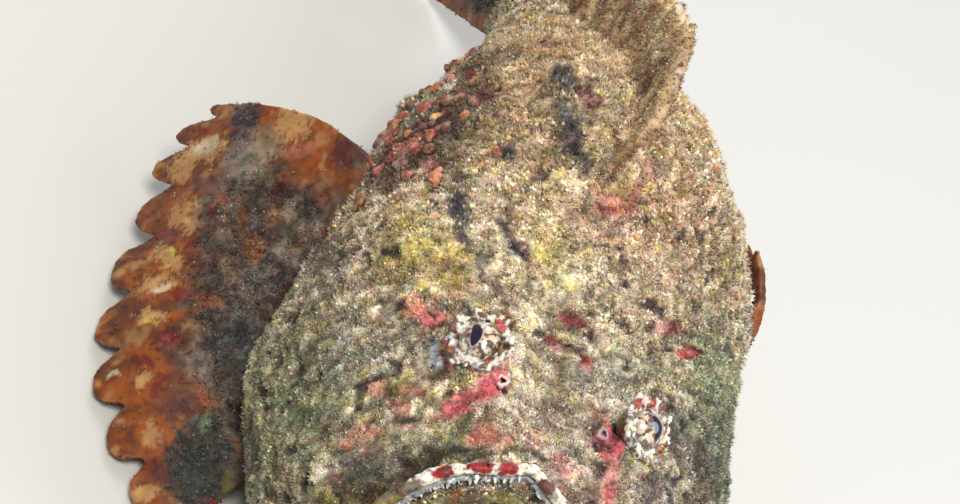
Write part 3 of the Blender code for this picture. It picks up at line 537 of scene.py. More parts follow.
# Glossy nodules: colour, pixel and radius in millimetres
NODULES = (
    ("rust", 418, 92, 1.4),
    ("orange", 438, 90, 1.6),
    ("maroon", 412, 108, 1.5),
    ("red", 431, 136, 1.5),
    ("rust", 456, 66, 1.5),
    ("maroon", 384, 138, 1.5),
    ("red", 416, 150, 1.6),
    ("maroon", 446, 128, 1.3),
    ("red", 462, 98, 1.3),
    ("rust", 395, 128, 1.5),
    ("orange", 410, 136, 1.4),
    ("maroon", 402, 158, 1.4),
    ("red", 380, 172, 1.3),
    ("red", 426, 111, 2.0),
    ("gold", 436, 119, 1.3),
    ("red", 476, 85, 1.6),
    ("pink", 452, 80, 1.2),
    ("maroon", 475, 54, 1.6),
    ("rust", 449, 103, 1.7),
    ("maroon", 474, 103, 1.5),
    ("orange", 466, 117, 1.4),
    ("red", 404, 120, 1.8),
    ("orange", 376, 127, 1.7),
    ("maroon", 370, 146, 1.9),
    ("red", 391, 143, 1.6),
    ("maroon", 424, 128, 1.3),
    ("rust", 430, 150, 1.5),
    ("rust", 339, 166, 2.0),
    ("red", 352, 179, 1.6),
    ("red", 408, 176, 1.3),
    ("salmon", 436, 178, 1.7),
    ("rust", 362, 200, 1.5),
    ("maroon", 343, 208, 1.4),
    ("salmon", 627, 178, 1.6),
    ("red", 617, 172, 1.2),
)

# Colours of the patches that are a smooth crust, with little turf on it
CRUSTS = ("pink", "salmon", "rose", "red", "maroon", "violet", "blue")

# Patches that are strewn where the camera doesn't see the fish, and their colours
NATURAL_PATCHES = 90
NATURAL_COLOURS = (
    "pink", "salmon", "red", "maroon", "yellow", "olive", "slate", "umber", "rust", "grey", "green"
)

# Nodules: clusters where the camera doesn't see the fish, their colours, the steps in pixels by which one
# that misses the fish is moved to the right, and the nodules' scale and grain
NATURAL_CLUSTERS = 13
NODULE_COLOURS = ("red", "rust", "orange", "maroon", "salmon", "gold", "cream", "tan")
NODULE_SHIFTS = range(0, 80, 6)
NODULE_SCALE = 1.15
NODULE_VOXEL = 0.4 * MM

# How soft the edges of patches and zones are, and how deep they reach as parts of their larger half side
PATCH_SOFTNESS = 0.22
ZONE_SOFTNESS = 0.55
PATCH_DEPTH = 1.6

# What the operators hand on to the later ones: the skin, its surfaces for rays, its markings, the fins,
# the lips' lines and the round places that the turf keeps clear
MADE = {}


def shade(red, green, blue):
    """A linear colour from an 8-bit one."""
    parts = np.array([red, green, blue]) / 255
    linear = np.where(parts < 0.04045, parts / 12.92, ((parts + 0.055) / 1.055) ** 2.4)
    return tuple(float(part) for part in linear)


def colour_property(name, description, *parts):
    """A colour that a user can change, from its 8-bit parts."""
    return FloatVectorProperty(
        name=name, description=description, subtype="COLOR", size=3, min=0, max=1, default=shade(*parts)
    )


def length_property(name, description, default):
    """A length that a user can change."""
    return FloatProperty(name=name, description=description, subtype="DISTANCE", min=0, default=default)


class StonefishSizes(bpy.types.PropertyGroup):
    """Sizes of the stonefish's surface."""

    skin_voxel: length_property("Skin grain", "Side of the voxels that the skin is remeshed to", 1.03 * MM)
    fin_voxel: length_property("Fin grain", "Side of the voxels that the fins are remeshed to", 0.6 * MM)
    coat_depth: length_property("Coat depth", "How far the skin lies inside the solids", 0.6 * MM)
    tuft_length: length_property("Tuft length", "Length that each filament of turf has a share of", 1.25 * MM)
    granule_radius: length_property("Granule radius", "Radius that each granule has a share of", 0.46 * MM)
    eye_radius: length_property("Eye radius", "Radius of an eyeball", 5.2 * MM)
    lip_radius: length_property("Lip radius", "Radius of the upper lip", 1.3 * MM)
    fringe_length: length_property("Fringe length", "Length that each cirrus has a share of", 2.4 * MM)
    lappet_length: length_property("Lappet length", "Length that each flap of a lid has a share of", 2.3 * MM)
    tufts: IntProperty(name="Tufts", description="How many tufts the body's coat has", min=0, default=95000)
    fin_tufts: IntProperty(name="Fin tufts", description="How many tufts the fins have", min=0, default=28000)


class StonefishColours(bpy.types.PropertyGroup):
    """Colours of the stonefish's skin and coat."""

    cream: colour_property("Cream turf", "Light grains of the turf", 244, 226, 192)
    tan: colour_property("Tan turf", "Main colour of the turf", 190, 168, 130)
    umber: colour_property("Umber", "Shade between the grains", 88, 66, 46)
    grey: colour_property("Pinkish grey", "Grey parts of the turf", 180, 172, 160)
    green: colour_property("Green grey", "Greenish turf of the cheeks and flanks", 126, 154, 110)
    olive: colour_property("Olive", "Yellow-green turf", 142, 136, 44)
    yellow: colour_property("Yellow", "Yellow turf", 234, 212, 84)
    gold: colour_property("Golden turf", "Golden turf of the nape and back", 226, 172, 106)
    rose: colour_property("Rose turf", "Pinkish grains of the turf", 212, 160, 148)
    pink: colour_property("Pink crust", "Bare pink patches", 206, 82, 96)
    salmon: colour_property("Salmon", "Pale red patches", 204, 118, 92)
    red: colour_property("Red", "Red spots and nodules", 150, 24, 28)
    maroon: colour_property("Maroon", "Dark red marks", 92, 26, 34)
    orange: colour_property("Orange", "Fins' margins and nodules", 178, 88, 14)
    rust: colour_property("Rust", "Brown-orange of the fins", 118, 56, 18)
    slate: colour_property("Slate", "Dark blue-grey marks", 70, 76, 92)
    blue: colour_property("Blue grey", "Pale blue-grey marks", 156, 170, 186)
    violet: colour_property("Violet", "Dark violet of the pupils and pits", 34, 24, 58)
    white: colour_property("White", "White blocks, lappets and sparkles", 236, 234, 226)
    teal: colour_property("Teal", "Dark blue-green of the fins' inner parts", 34, 60, 62)
    black: colour_property("Black", "The darkest pits", 16, 14, 16)


def smoothstep(low, high, values):
    """A smooth rise from 0 at the first limit to 1 at the second, which may be the lower one."""
    t = np.clip((values - low) / (high - low), 0, 1)
    return t * t * (3 - 2 * t)


def unit(ways):
    """The same directions, each of length 1."""
    return ways / np.linalg.norm(ways, axis=-1, keepdims=True)


def hashed(x, y, z, seed):
    """A repeatable number from 0 to 1 for each whole-number cell."""
    key = (x * 73856093) ^ (y * 19349663) ^ (z * 83492791) ^ (seed * 40503 + 977)
    key = (key ^ (key >> 13)) * 1274126177 & 0x7FFFFFFF
    key = (key ^ (key >> 15)) * 668265263 & 0x7FFFFFFF
    return ((key ^ (key >> 14)) & 0xFFFFFF) / 0xFFFFFF


def blobs(points, size, seed):
    """Smooth noise from -1 to 1, with features of that size."""
    at = points / size
    low = np.floor(at).astype(np.int64)
    t = at - low
    t = t * t * (3 - 2 * t)
    total = np.zeros(len(points))
    for corner in range(8):
        step = np.array([corner & 1, corner >> 1 & 1, corner >> 2 & 1])
        weight = np.prod(np.where(step, t, 1 - t), axis=1)
        cell = low + step
        total += weight * hashed(cell[:, 0], cell[:, 1], cell[:, 2], seed)
    return 2 * total - 1


def cloud(points, size, seed, octaves=3):
    """Noise from about -1 to 1, with features of that size and finer ones."""
    total = np.zeros(len(points))
    for octave in range(octaves):
        total += blobs(points, size / 2**octave, seed + 31 * octave) / 2**octave
    return total / 1.4


def warped(points, size, seeds, reach, octaves=3):
    """Shifts of up to about that reach, which turn straight edges into ragged ones."""
    return np.stack([cloud(points, size, seed, octaves) for seed in seeds], -1) * reach


def cell_colours(points, size, seed):
    """One of the turf's colours for each ragged cell of that size."""
    warp = warped(points, 0.9 * size, range(seed, seed + 3), 0.6 * size, 2)
    cell = np.floor((points + warp) / size).astype(np.int64)
    pick = hashed(cell[:, 0], cell[:, 1], cell[:, 2], seed)
    edges = np.cumsum([share for _, share in TURF_CELLS])[:-1]
    return np.array([colour(name) for name, _ in TURF_CELLS])[np.searchsorted(edges, pick)]


def fish_way(left, back, up):
    """A world direction from parts to the fish's left, to its back and up, at its head."""
    x = left * math.cos(HEAD_TURN) + back * math.sin(HEAD_TURN)
    y = back * math.cos(HEAD_TURN) - left * math.sin(HEAD_TURN)
    return np.array([x, y, up])


def bend_from(places, origin):
    """World points from places along, side and up, counted from an origin on the floor under the snout."""
    along, side, up = np.asarray(places, float).T
    turn = HEAD_TURN + BEND_TURN * np.clip(along - BEND_START, 0, BEND_LENGTH) / BEND_LENGTH
    straight = np.minimum(along, BEND_START)
    x = straight * math.sin(HEAD_TURN) + BEND_RADIUS * (math.cos(HEAD_TURN) - np.cos(turn))
    y = straight * math.cos(HEAD_TURN) + BEND_RADIUS * (np.sin(turn) - math.sin(HEAD_TURN))
    return np.stack([x + side * np.cos(turn), y - side * np.sin(turn), up], -1) + origin


def box_middle(name):
    """The middle of a solid's box."""
    low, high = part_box(name)
    return (np.array(low) + np.array(high)) / 2


EYES = {"left": box_middle("eye_left"), "right": box_middle("eye_right")}
EYES_MIDDLE = (EYES["left"] + EYES["right"]) / 2
ORIGIN = EYES_MIDDLE - bend_from([(EYE_ALONG, 0, EYES_MIDDLE[2])], 0)[0]


def bend(places):
    """World points from places along, side and up."""
    return bend_from(places, ORIGIN)


def unbend(points):
    """Places along, side and up from world points."""
    flat = (points - ORIGIN)[:, :2]
    along = flat @ (math.sin(HEAD_TURN), math.cos(HEAD_TURN))
    side = flat @ (math.cos(HEAD_TURN), -math.sin(HEAD_TURN))
    centre = np.array([
        BEND_START * math.sin(HEAD_TURN) + BEND_RADIUS * math.cos(HEAD_TURN),
        BEND_START * math.cos(HEAD_TURN) - BEND_RADIUS * math.sin(HEAD_TURN),
    ])
    apart = flat - centre
    turn = np.arctan2(-apart[:, 1], apart[:, 0])
    behind = BEND_START + (turn - HEAD_TURN) / BEND_TURN * BEND_LENGTH
    beside = np.hypot(apart[:, 0], apart[:, 1]) + BEND_RADIUS
    curved = along > BEND_START
    return np.stack([np.where(curved, behind, along), np.where(curved, beside, side), points[:, 2]], -1)


RIGHT = unit(fish_way(*CAMERA_RIGHT))
UPWARD = fish_way(*CAMERA_UP)
UPWARD = unit(UPWARD - RIGHT * (UPWARD @ RIGHT))
TOWARDS = np.cross(RIGHT, UPWARD)
CAMERA_AIM = EYES_MIDDLE + RIGHT * AIM_RIGHT + UPWARD * AIM_UP
CAMERA_PLACE = CAMERA_AIM + TOWARDS * CAMERA_AWAY


def pixel_way(x, y):
    """The direction from the camera through a pixel of the picture."""
    across = (x - PICTURE_WIDE / 2) / PICTURE_WIDE * PICTURE_SPAN / CAMERA_AWAY
    down = (y - PICTURE_HIGH / 2) / PICTURE_WIDE * PICTURE_SPAN / CAMERA_AWAY
    way = RIGHT * across - UPWARD * down - TOWARDS
    return Vector(way).normalized()


def pixels_of(points):
    """Where the camera sees each point, in pixels of the picture."""
    away = points - CAMERA_PLACE
    scale = CAMERA_AWAY / PICTURE_SPAN * PICTURE_WIDE / -(away @ TOWARDS)
    x = PICTURE_WIDE / 2 + (away @ RIGHT) * scale
    y = PICTURE_HIGH / 2 - (away @ UPWARD) * scale
    return np.stack([x, y], -1)


def sizes():
    """The sizes that a user can change."""
    return bpy.context.scene.stonefish_sizes


def colour(name):
    """One of the colours that a user can change."""
    return np.array(getattr(bpy.context.scene.stonefish_colours, name))


def deselect():
    """Deselects everything."""
    for other in bpy.context.selected_objects:
        other.select_set(False)


def select_only(piece):
    """Deselects everything, then selects this piece and makes it active."""
    deselect()
    piece.select_set(True)
    bpy.context.view_layer.objects.active = piece


def apply_modifier(piece, name, kind, **settings):
    """Adds a modifier with these settings and applies it."""
    modifier = piece.modifiers.new(name, kind)
    for key, value in settings.items():
        setattr(modifier, key, value)
    select_only(piece)
    bpy.ops.object.modifier_apply(modifier=modifier.name)


def remesh(piece, voxel):
    """Runs all that a piece is made of together into one closed surface."""
    apply_modifier(piece, "Remesh", "REMESH", mode="VOXEL", voxel_size=voxel)


def smooth(piece, times):
    """Smooths a piece all over."""
    apply_modifier(piece, "Smooth", "SMOOTH", factor=0.5, iterations=times)


def new_piece(name, mesh):
    """A new object of the scene with that mesh."""
    piece = bpy.data.objects.new(name, mesh)
    bpy.context.scene.collection.objects.link(piece)
    return piece


def new_ball(subdivisions, radius, place):
    """A new ball, the only piece that is selected."""
    select_only(MADE["skin"])
    bpy.ops.mesh.primitive_ico_sphere_add(subdivisions=subdivisions, radius=radius, location=place)
    ball = bpy.context.object
    select_only(ball)
    return ball


def vertex_values(piece, kind):
    """Three values of a kind for each point of a piece."""
    values = np.empty(len(piece.data.vertices) * 3, np.float32)
    piece.data.vertices.foreach_get(kind, values)
    return values.reshape(-1, 3).astype(float)


def points_of(piece):
    """The places of a piece's points."""
    return vertex_values(piece, "co")


def normals_of(piece):
    """The ways out of a piece at its points."""
    return vertex_values(piece, "normal")


def set_points(piece, points):
    """Moves a piece's points to these places."""
    piece.data.vertices.foreach_set("co", points.astype(np.float32).ravel())
    piece.data.update()


def triangles_of(piece):
    """The three corners of each of a piece's triangles."""
    piece.data.calc_loop_triangles()
    corners = np.empty(len(piece.data.loop_triangles) * 3, np.int32)
    piece.data.loop_triangles.foreach_get("vertices", corners)
    return corners.reshape(-1, 3)


def mesh_from(name, points, triangles):
    """A mesh of triangles from arrays."""
    mesh = bpy.data.meshes.new(name)
    mesh.vertices.add(len(points))
    mesh.vertices.foreach_set("co", points.astype(np.float32).ravel())
    mesh.loops.add(triangles.size)
    mesh.loops.foreach_set("vertex_index", triangles.astype(np.int32).ravel())
    mesh.polygons.add(len(triangles))
    mesh.polygons.foreach_set("loop_start", np.arange(0, triangles.size, 3, dtype=np.int32))
    mesh.update(calc_edges=True)
    return mesh


def set_marks(piece, colours):
    """Keeps a colour for each point in the piece's own attribute."""
    layer = piece.data.color_attributes.new("marks", "FLOAT_COLOR", "POINT")
    four = np.ones((len(colours), 4), np.float32)
    four[:, :3] = np.clip(colours, 0, 1)
    layer.data.foreach_set("color", four.ravel())


def marks_of(piece):
    """The colours that are kept for a piece's points."""
    four = np.empty(len(piece.data.vertices) * 4, np.float32)
    piece.data.color_attributes["marks"].data.foreach_get("color", four)
    return four.reshape(-1, 4)[:, :3]


def tree_of(piece):
    """A piece's surface as it is now, for rays and nearest points."""
    bm = bmesh.new()
    bm.from_mesh(piece.data)
    tree = BVHTree.FromBMesh(bm)
    bm.free()
    return tree


def finish_piece(piece, material, slot, *nodes):
    """Gives a finished piece its material and its body, and hides the nodes that it stands for. The slot is
    not used.
    """
    piece.data.materials.clear()
    piece.data.materials.append(material)
    piece.data.polygons.foreach_set("use_smooth", np.ones(len(piece.data.polygons), bool))
    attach(piece, "root")
    if nodes:
        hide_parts(*nodes)


def solid_copy(name, nodes, swelling):
    """One mesh from copies of the nodes, each merged and swollen a little so that they overlap."""
    whole = bmesh.new()
    for node in nodes:
        part = bmesh.new()
        part.from_mesh(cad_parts[node].data)
        bmesh.ops.remove_doubles(part, verts=part.verts, dist=0.01 * MM)
        part.normal_update()
        for vert in part.verts:
            vert.co += vert.normal * swelling
        mesh = bpy.data.meshes.new("part")
        part.to_mesh(mesh)
        part.free()
        whole.from_mesh(mesh)
        bpy.data.meshes.remove(mesh)
    mesh = bpy.data.meshes.new(name)
    whole.to_mesh(mesh)
    whole.free()
    return new_piece(name, mesh)


def keep_largest(piece):
    """The largest loose part of a piece, without the specks that a remesh leaves beside it."""
    name = piece.name
    select_only(piece)
    bpy.ops.mesh.separate(type="LOOSE")
    parts = sorted(bpy.context.selected_objects, key=lambda part: len(part.data.vertices))
    for speck in parts[:-1]:
        bpy.data.objects.remove(speck)
    parts[-1].name = name
    return parts[-1]


def relief(piece, kind, size, height, level):
    """Raises the surface by a procedural texture with features of that size."""
    texture = bpy.data.textures.new("relief", kind)
    texture.noise_scale = size
    settings = {"texture": texture, "texture_coords": "LOCAL", "strength": height, "mid_level": level}
    apply_modifier(piece, "Relief", "DISPLACE", **settings)
    bpy.data.textures.remove(texture)


def pits_of(points):
    """How deep in one of the turf's small pits each point lies, from 0 to 1. The pits are painted dark as
    shade.
    """
    return smoothstep(0.34, 0.6, cloud(points, PIT_SIZE, 19, 2) + 0.25 * cloud(points, 11 * MM, 233, 2))


def placed(rows, tree, soft=PATCH_SOFTNESS):
    """Patches where the camera's rays through their pixels meet a surface."""
    found = []
    for name, x, y, wide, high, turn, cover in rows:
        hit = tree.ray_cast(Vector(CAMERA_PLACE), pixel_way(x, y))[0]
        if hit is None:
            continue
        turned = math.radians(turn)
        across = RIGHT * math.cos(turned) + UPWARD * math.sin(turned)
        upward = UPWARD * math.cos(turned) - RIGHT * math.sin(turned)
        depth = PATCH_DEPTH * max(wide, high)
        axes = np.stack([across / wide, upward / high, TOWARDS / depth]) / MM
        found.append((np.array(hit), axes, colour(name), cover, soft))
    return found


def painted(points, shown, patches, fray_size=4 * MM, fray=1.6 * MM, rag=0.3):
    """The colours with these patches over them, each with a frayed edge."""
    warp = warped(points, fray_size, (23, 29, 37), fray)
    ragged = rag * cloud(points, 0.4 * fray_size, 41, 2)
    for centre, axes, tint, cover, soft in patches:
        apart = (points - centre + warp) @ axes.T
        reach = np.linalg.norm(apart, axis=1) + ragged
        near = reach < 1 + soft
        weight = cover * smoothstep(1 + soft, 1 - soft, reach[near])[:, None]
        shown[near] = shown[near] * (1 - weight) + tint * weight
    return shown


def mixed(shown, tint, weight):
    """The colours with another laid over them by weight."""
    weight = np.asarray(weight)[..., None]
    return shown * (1 - weight) + np.asarray(tint) * weight


def blotched(points, shown, tint, cover, size, seed, low, high, octaves=3):
    """The colours with blotches of another over them, where a noise of that size is past its limits."""
    return mixed(shown, tint, cover * smoothstep(low, high, cloud(points, size, seed, octaves)))


def all_over(points, tint):
    """One colour for every point."""
    return np.tile(tint, (len(points), 1))


def hit_round(tree, along, degrees):
    """Where a ray towards the body's middle line meets the skin, from that angle round it, and the normal."""
    way = np.array([0, math.cos(math.radians(degrees)), math.sin(math.radians(degrees))])
    middle = np.array([along, 0, BODY_MIDDLE_UP])
    start, end = bend([middle + BESIDE_FISH * way, middle])
    return tree.ray_cast(Vector(start), Vector(end - start))[:2]


class Markings:
    """The fish's colours: mottled turf, wide zones and small patches, as a formula of the place."""

    def __init__(self, tree):
        self.patches = placed(ZONES, tree, ZONE_SOFTNESS) + placed(PATCHES, tree)
        self.crusts = placed([row for row in PATCHES if row[0] in CRUSTS], tree)
        draw = np.random.default_rng(SEED)
        for _ in range(NATURAL_PATCHES):
            along, degrees = draw.uniform(30, 235) * MM, draw.uniform(-40, 220)
            hit, normal = hit_round(tree, along, degrees)
            name = NATURAL_COLOURS[draw.integers(len(NATURAL_COLOURS))]
            wide, high = draw.uniform(1.8, 6.5), draw.uniform(1.4, 4.0)
            if hit is None or self.seen(np.array(hit), tree):
                continue
            across, outward = np.array(normal.orthogonal().normalized()), np.array(normal)
            axes = np.stack([across / wide, np.cross(outward, across) / high, outward / (wide + 2)]) / MM
            patch = (np.array(hit), axes, colour(name), draw.uniform(0.55, 1.0), PATCH_SOFTNESS)
            self.patches.append(patch)
            if name in CRUSTS:
                self.crusts.append(patch)

    @staticmethod
    def seen(point, tree):
        """Whether the camera sees this point of the skin, or nearly."""
        way = Vector(point - CAMERA_PLACE)
        hit = tree.ray_cast(Vector(CAMERA_PLACE), way.normalized())[0]
        across = (point - CAMERA_AIM) @ RIGHT
        upward = (point - CAMERA_AIM) @ UPWARD
        inside = abs(across) < PICTURE_SPAN * SEEN_ACROSS and abs(upward) < PICTURE_SPAN * SEEN_UPWARD
        return inside and hit is not None and (hit - Vector(point)).length < SEEN_DEPTH

    def crust(self, points):
        """How fully a smooth crust covers each point, from 0 to 1."""
        covers = [(centre, axes, 1.0, cover, soft) for centre, axes, _, cover, soft in self.crusts]
        return painted(points, np.zeros((len(points), 1)), covers)[:, 0]

    def mottled(self, points):
        """The turf's own colours, without zones or patches."""
        wide = cloud(points, 26 * MM, 3)
        medium = cloud(points, 9 * MM, 5)
        fine = cloud(points, 2.6 * MM, 7)
        light = smoothstep(-0.5, 0.6, fine + 0.4 * medium)[:, None]
        shown = colour("tan") * (1 - light) + colour("cream") * light
        shown = mixed(shown, colour("grey"), 0.75 * smoothstep(-0.1, 0.6, wide - 0.3 * medium))
        green = smoothstep(0.15, 0.6, cloud(points, 18 * MM, 13) - 0.2 * fine)
        shown = mixed(shown, colour("green"), 0.6 * green)
        return blotched(points, shown, colour("olive"), 0.5, 12 * MM, 17, 0.3, 0.7)

    @staticmethod
    def grained(points, shown, coarse=0.46, fine=0.28):
        """The colours broken up by small patches of other turf, as light or dark as what they lie on."""
        shares = np.array([share for _, share in TURF_CELLS])
        lights = np.array([colour(name).mean() for name, _ in TURF_CELLS])
        light = shown.mean(1, keepdims=True) / (shares @ lights / shares.sum())
        shown = mixed(shown, cell_colours(points, 2.2 * MM, 211) * light, coarse)
        return mixed(shown, cell_colours(points, 1.1 * MM, 223) * light, fine)

    def at(self, points):
        """The markings' colour at each point, with painted shade in the turf's pits."""
        up = points[:, 2]
        shown = self.grained(points, self.mottled(points))
        shown = mixed(shown, colour("green") * 0.7, 0.55 * smoothstep(26 * MM, 4 * MM, up))
        shown = mixed(shown, colour("gold"), 0.45 * smoothstep(62 * MM, 92 * MM, up))
        crust = self.crust(points)
        turf = 1 - 0.7 * crust
        shown = self.grained(points, painted(points, shown, self.patches), 0.3 * turf, 0.24 * turf)
        shown = blotched(points, shown, colour("rose"), 0.6 * crust, 4 * MM, 243, 0.1, 0.5, 2)
        light = 1 + 0.55 * cloud(points, 3.2 * MM, 47) + 0.35 * cloud(points, 8 * MM, 49, 2)
        # Painted shade: the turf's pits darkened with violet and umber
        shadow = colour("violet") * 0.6 + colour("umber") * 0.5
        return mixed(shown * light[:, None], shadow, 0.85 * pits_of(points))


def nearest(points, others):
    """For each point, the nearest of the others and how far it is."""
    tree = KDTree(len(others))
    for number, other in enumerate(others):
        tree.insert(other, number)
    tree.balance()
    found = [tree.find(point) for point in points]
    return np.array([row[1] for row in found]), np.array([row[2] for row in found])


def nearest_tints(points, centres, tints):
    """The colour of the ball nearest to each point."""
    return np.asarray(tints)[nearest(points, centres)[0]]


def mouth_line(offset, turns):
    """World rays' starts ahead of the mouth's arch, moved out by an offset. Turn 0 is the left corner."""
    wave = np.sign(np.cos(turns)) * np.abs(np.cos(turns)) ** (2 / MOUTH_SQUARENESS)
    rise = np.sin(turns) ** (2 / MOUTH_SQUARENESS)
    side = (MOUTH_HALF_WIDTH + offset) * wave
    up = MOUTH_CORNER_UP + (MOUTH_TOP_UP - MOUTH_CORNER_UP + offset) * rise
    return bend(np.stack([np.full(len(turns), -MOUTH_AHEAD), side, up], -1))


def on_arch(tree, offset, turns):
    """Points of a surface along the mouth's arch, moved out by an offset, smoothed ways out and turns."""
    back = Vector(fish_way(0, 1, 0))
    hits = [tree.ray_cast(Vector(start), back)[:2] for start in mouth_line(offset, turns)]
    kept = [n for n, (hit, _) in enumerate(hits) if hit is not None]
    ways = np.array([hits[n][1] for n in kept])
    window = np.ones(MOUTH_WAYS_WINDOW) / MOUTH_WAYS_WINDOW
    beyond = MOUTH_WAYS_WINDOW // 2
    padded = np.pad(ways, ((beyond, beyond), (0, 0)), "edge")
    ways = np.stack([np.convolve(padded[:, i], window, "valid") for i in range(3)], -1)
    return np.array([hits[n][0] for n in kept]), unit(ways), turns[kept]


def inward_ways(turns):
    """World ways from the mouth's arch towards the middle of the mouth."""
    return np.array([fish_way(-math.cos(turn), 0, -math.sin(turn)) for turn in turns])


def fused(name, centres, radii, voxel, smoothing):
    """One fleshy piece from balls at these places, run together."""
    ball = new_ball(2, 1, (0, 0, 0))
    shape, faces = points_of(ball), triangles_of(ball)
    bpy.data.objects.remove(ball)
    points = np.asarray(centres)[:, None] + shape[None] * np.asarray(radii)[:, None, None]
    corners = faces[None] + len(shape) * np.arange(len(points))[:, None, None]
    piece = new_piece(name, mesh_from(name, points.reshape(-1, 3), corners.reshape(-1, 3)))
    remesh(piece, voxel)
    smooth(piece, smoothing)
    return piece


def string_of_balls(start, way, curl, length, first, last, count):
    """Centres and radii of a tapering, bent string of balls."""
    t = np.linspace(0, 1, count)[:, None]
    centres = start + way * length * t + curl * length * t**2
    return list(centres), list(np.linspace(first, last, count))


class Balls:
    """Balls that are run together into one fleshy piece: their centres, radii and colours."""

    def __init__(self):
        self.centres = []
        self.radii = []
        self.tints = []

    def add(self, centres, radii, tint):
        """Adds balls of one colour."""
        self.centres += centres
        self.radii += radii
        self.tints += [tint] * len(centres)

    def fused(self, name, voxel, smoothing):
        """The piece that they make."""
        return fused(name, self.centres, self.radii, voxel, smoothing)

    def tints_near(self, points):
        """The colour of the ball nearest to each point."""
        return nearest_tints(points, self.centres, self.tints)


def frames_of(ways):
    """Two directions across each way."""
    helper = np.where(np.abs(ways[:, 2:3]) < 0.8, [[0, 0, 1.0]], [[1.0, 0, 0]])
    first = unit(np.cross(ways, helper))
    return first, np.cross(ways, first)


def shader(name, roughness=0.7):
    """A new material, its nodes, its links and its Principled shader."""
    material = bpy.data.materials.new(name)
    material.use_nodes = True
    tree = material.node_tree
    principled = tree.nodes["Principled BSDF"]
    principled.inputs["Roughness"].default_value = roughness
    return material, tree.nodes, tree.links, principled


def grain_node(nodes, links, size, detail):
    """A noise texture of that grain in the object's own coordinates."""
    place = nodes.new("ShaderNodeTexCoord")
    texture = nodes.new("ShaderNodeTexNoise")
    texture.inputs["Scale"].default_value = 1 / size
    texture.inputs["Detail"].default_value = detail
    links.new(place.outputs["Object"], texture.inputs["Vector"])
    return texture


def ramp_node(nodes, links, source, low, high, dark, light):
    """Turns a value between low and high into one between dark and light."""
    spread = nodes.new("ShaderNodeMapRange")
    spread.inputs["From Min"].default_value = low
    spread.inputs["From Max"].default_value = high
    spread.inputs["To Min"].default_value = dark
    spread.inputs["To Max"].default_value = light
    links.new(source, spread.inputs["Value"])
    return spread.outputs["Result"]


def marked_material(name):
    """The markings attribute, speckled, with rough grain and bump, in one of the finishes."""
    roughness, grain, contrast, bump, bump_depth, sheen, flesh = FINISHES[name]
    material, nodes, links, principled = shader(name)
    marks = nodes.new("ShaderNodeAttribute")
    marks.attribute_name = "marks"
    speckle = grain_node(nodes, links, grain, 4)
    factor = ramp_node(nodes, links, speckle.outputs["Fac"], 0.32, 0.68, 1 - contrast, 1 + contrast)
    scaled = nodes.new("ShaderNodeVectorMath")
    scaled.operation = "SCALE"
    links.new(marks.outputs["Color"], scaled.inputs[0])
    links.new(factor, scaled.inputs["Scale"])
    links.new(scaled.outputs["Vector"], principled.inputs["Base Color"])
    rough = ramp_node(nodes, links, speckle.outputs["Fac"], 0.3, 0.7, roughness + 0.12, roughness - 0.15)
    links.new(rough, principled.inputs["Roughness"])
    pits = grain_node(nodes, links, bump, 6)
    raised = nodes.new("ShaderNodeBump")
    raised.inputs["Strength"].default_value = 0.8
    raised.inputs["Distance"].default_value = bump_depth
    links.new(pits.outputs["Fac"], raised.inputs["Height"])
    links.new(raised.outputs["Normal"], principled.inputs["Normal"])
    principled.inputs["Specular IOR Level"].default_value = 0.35
    if sheen:
        principled.inputs["Sheen Weight"].default_value = sheen
    if flesh:
        principled.inputs["Subsurface Weight"].default_value = flesh
        principled.inputs["Subsurface Radius"].default_value = (1.0, 0.35, 0.15)
        principled.inputs["Subsurface Scale"].default_value = 2 * MM
    return material


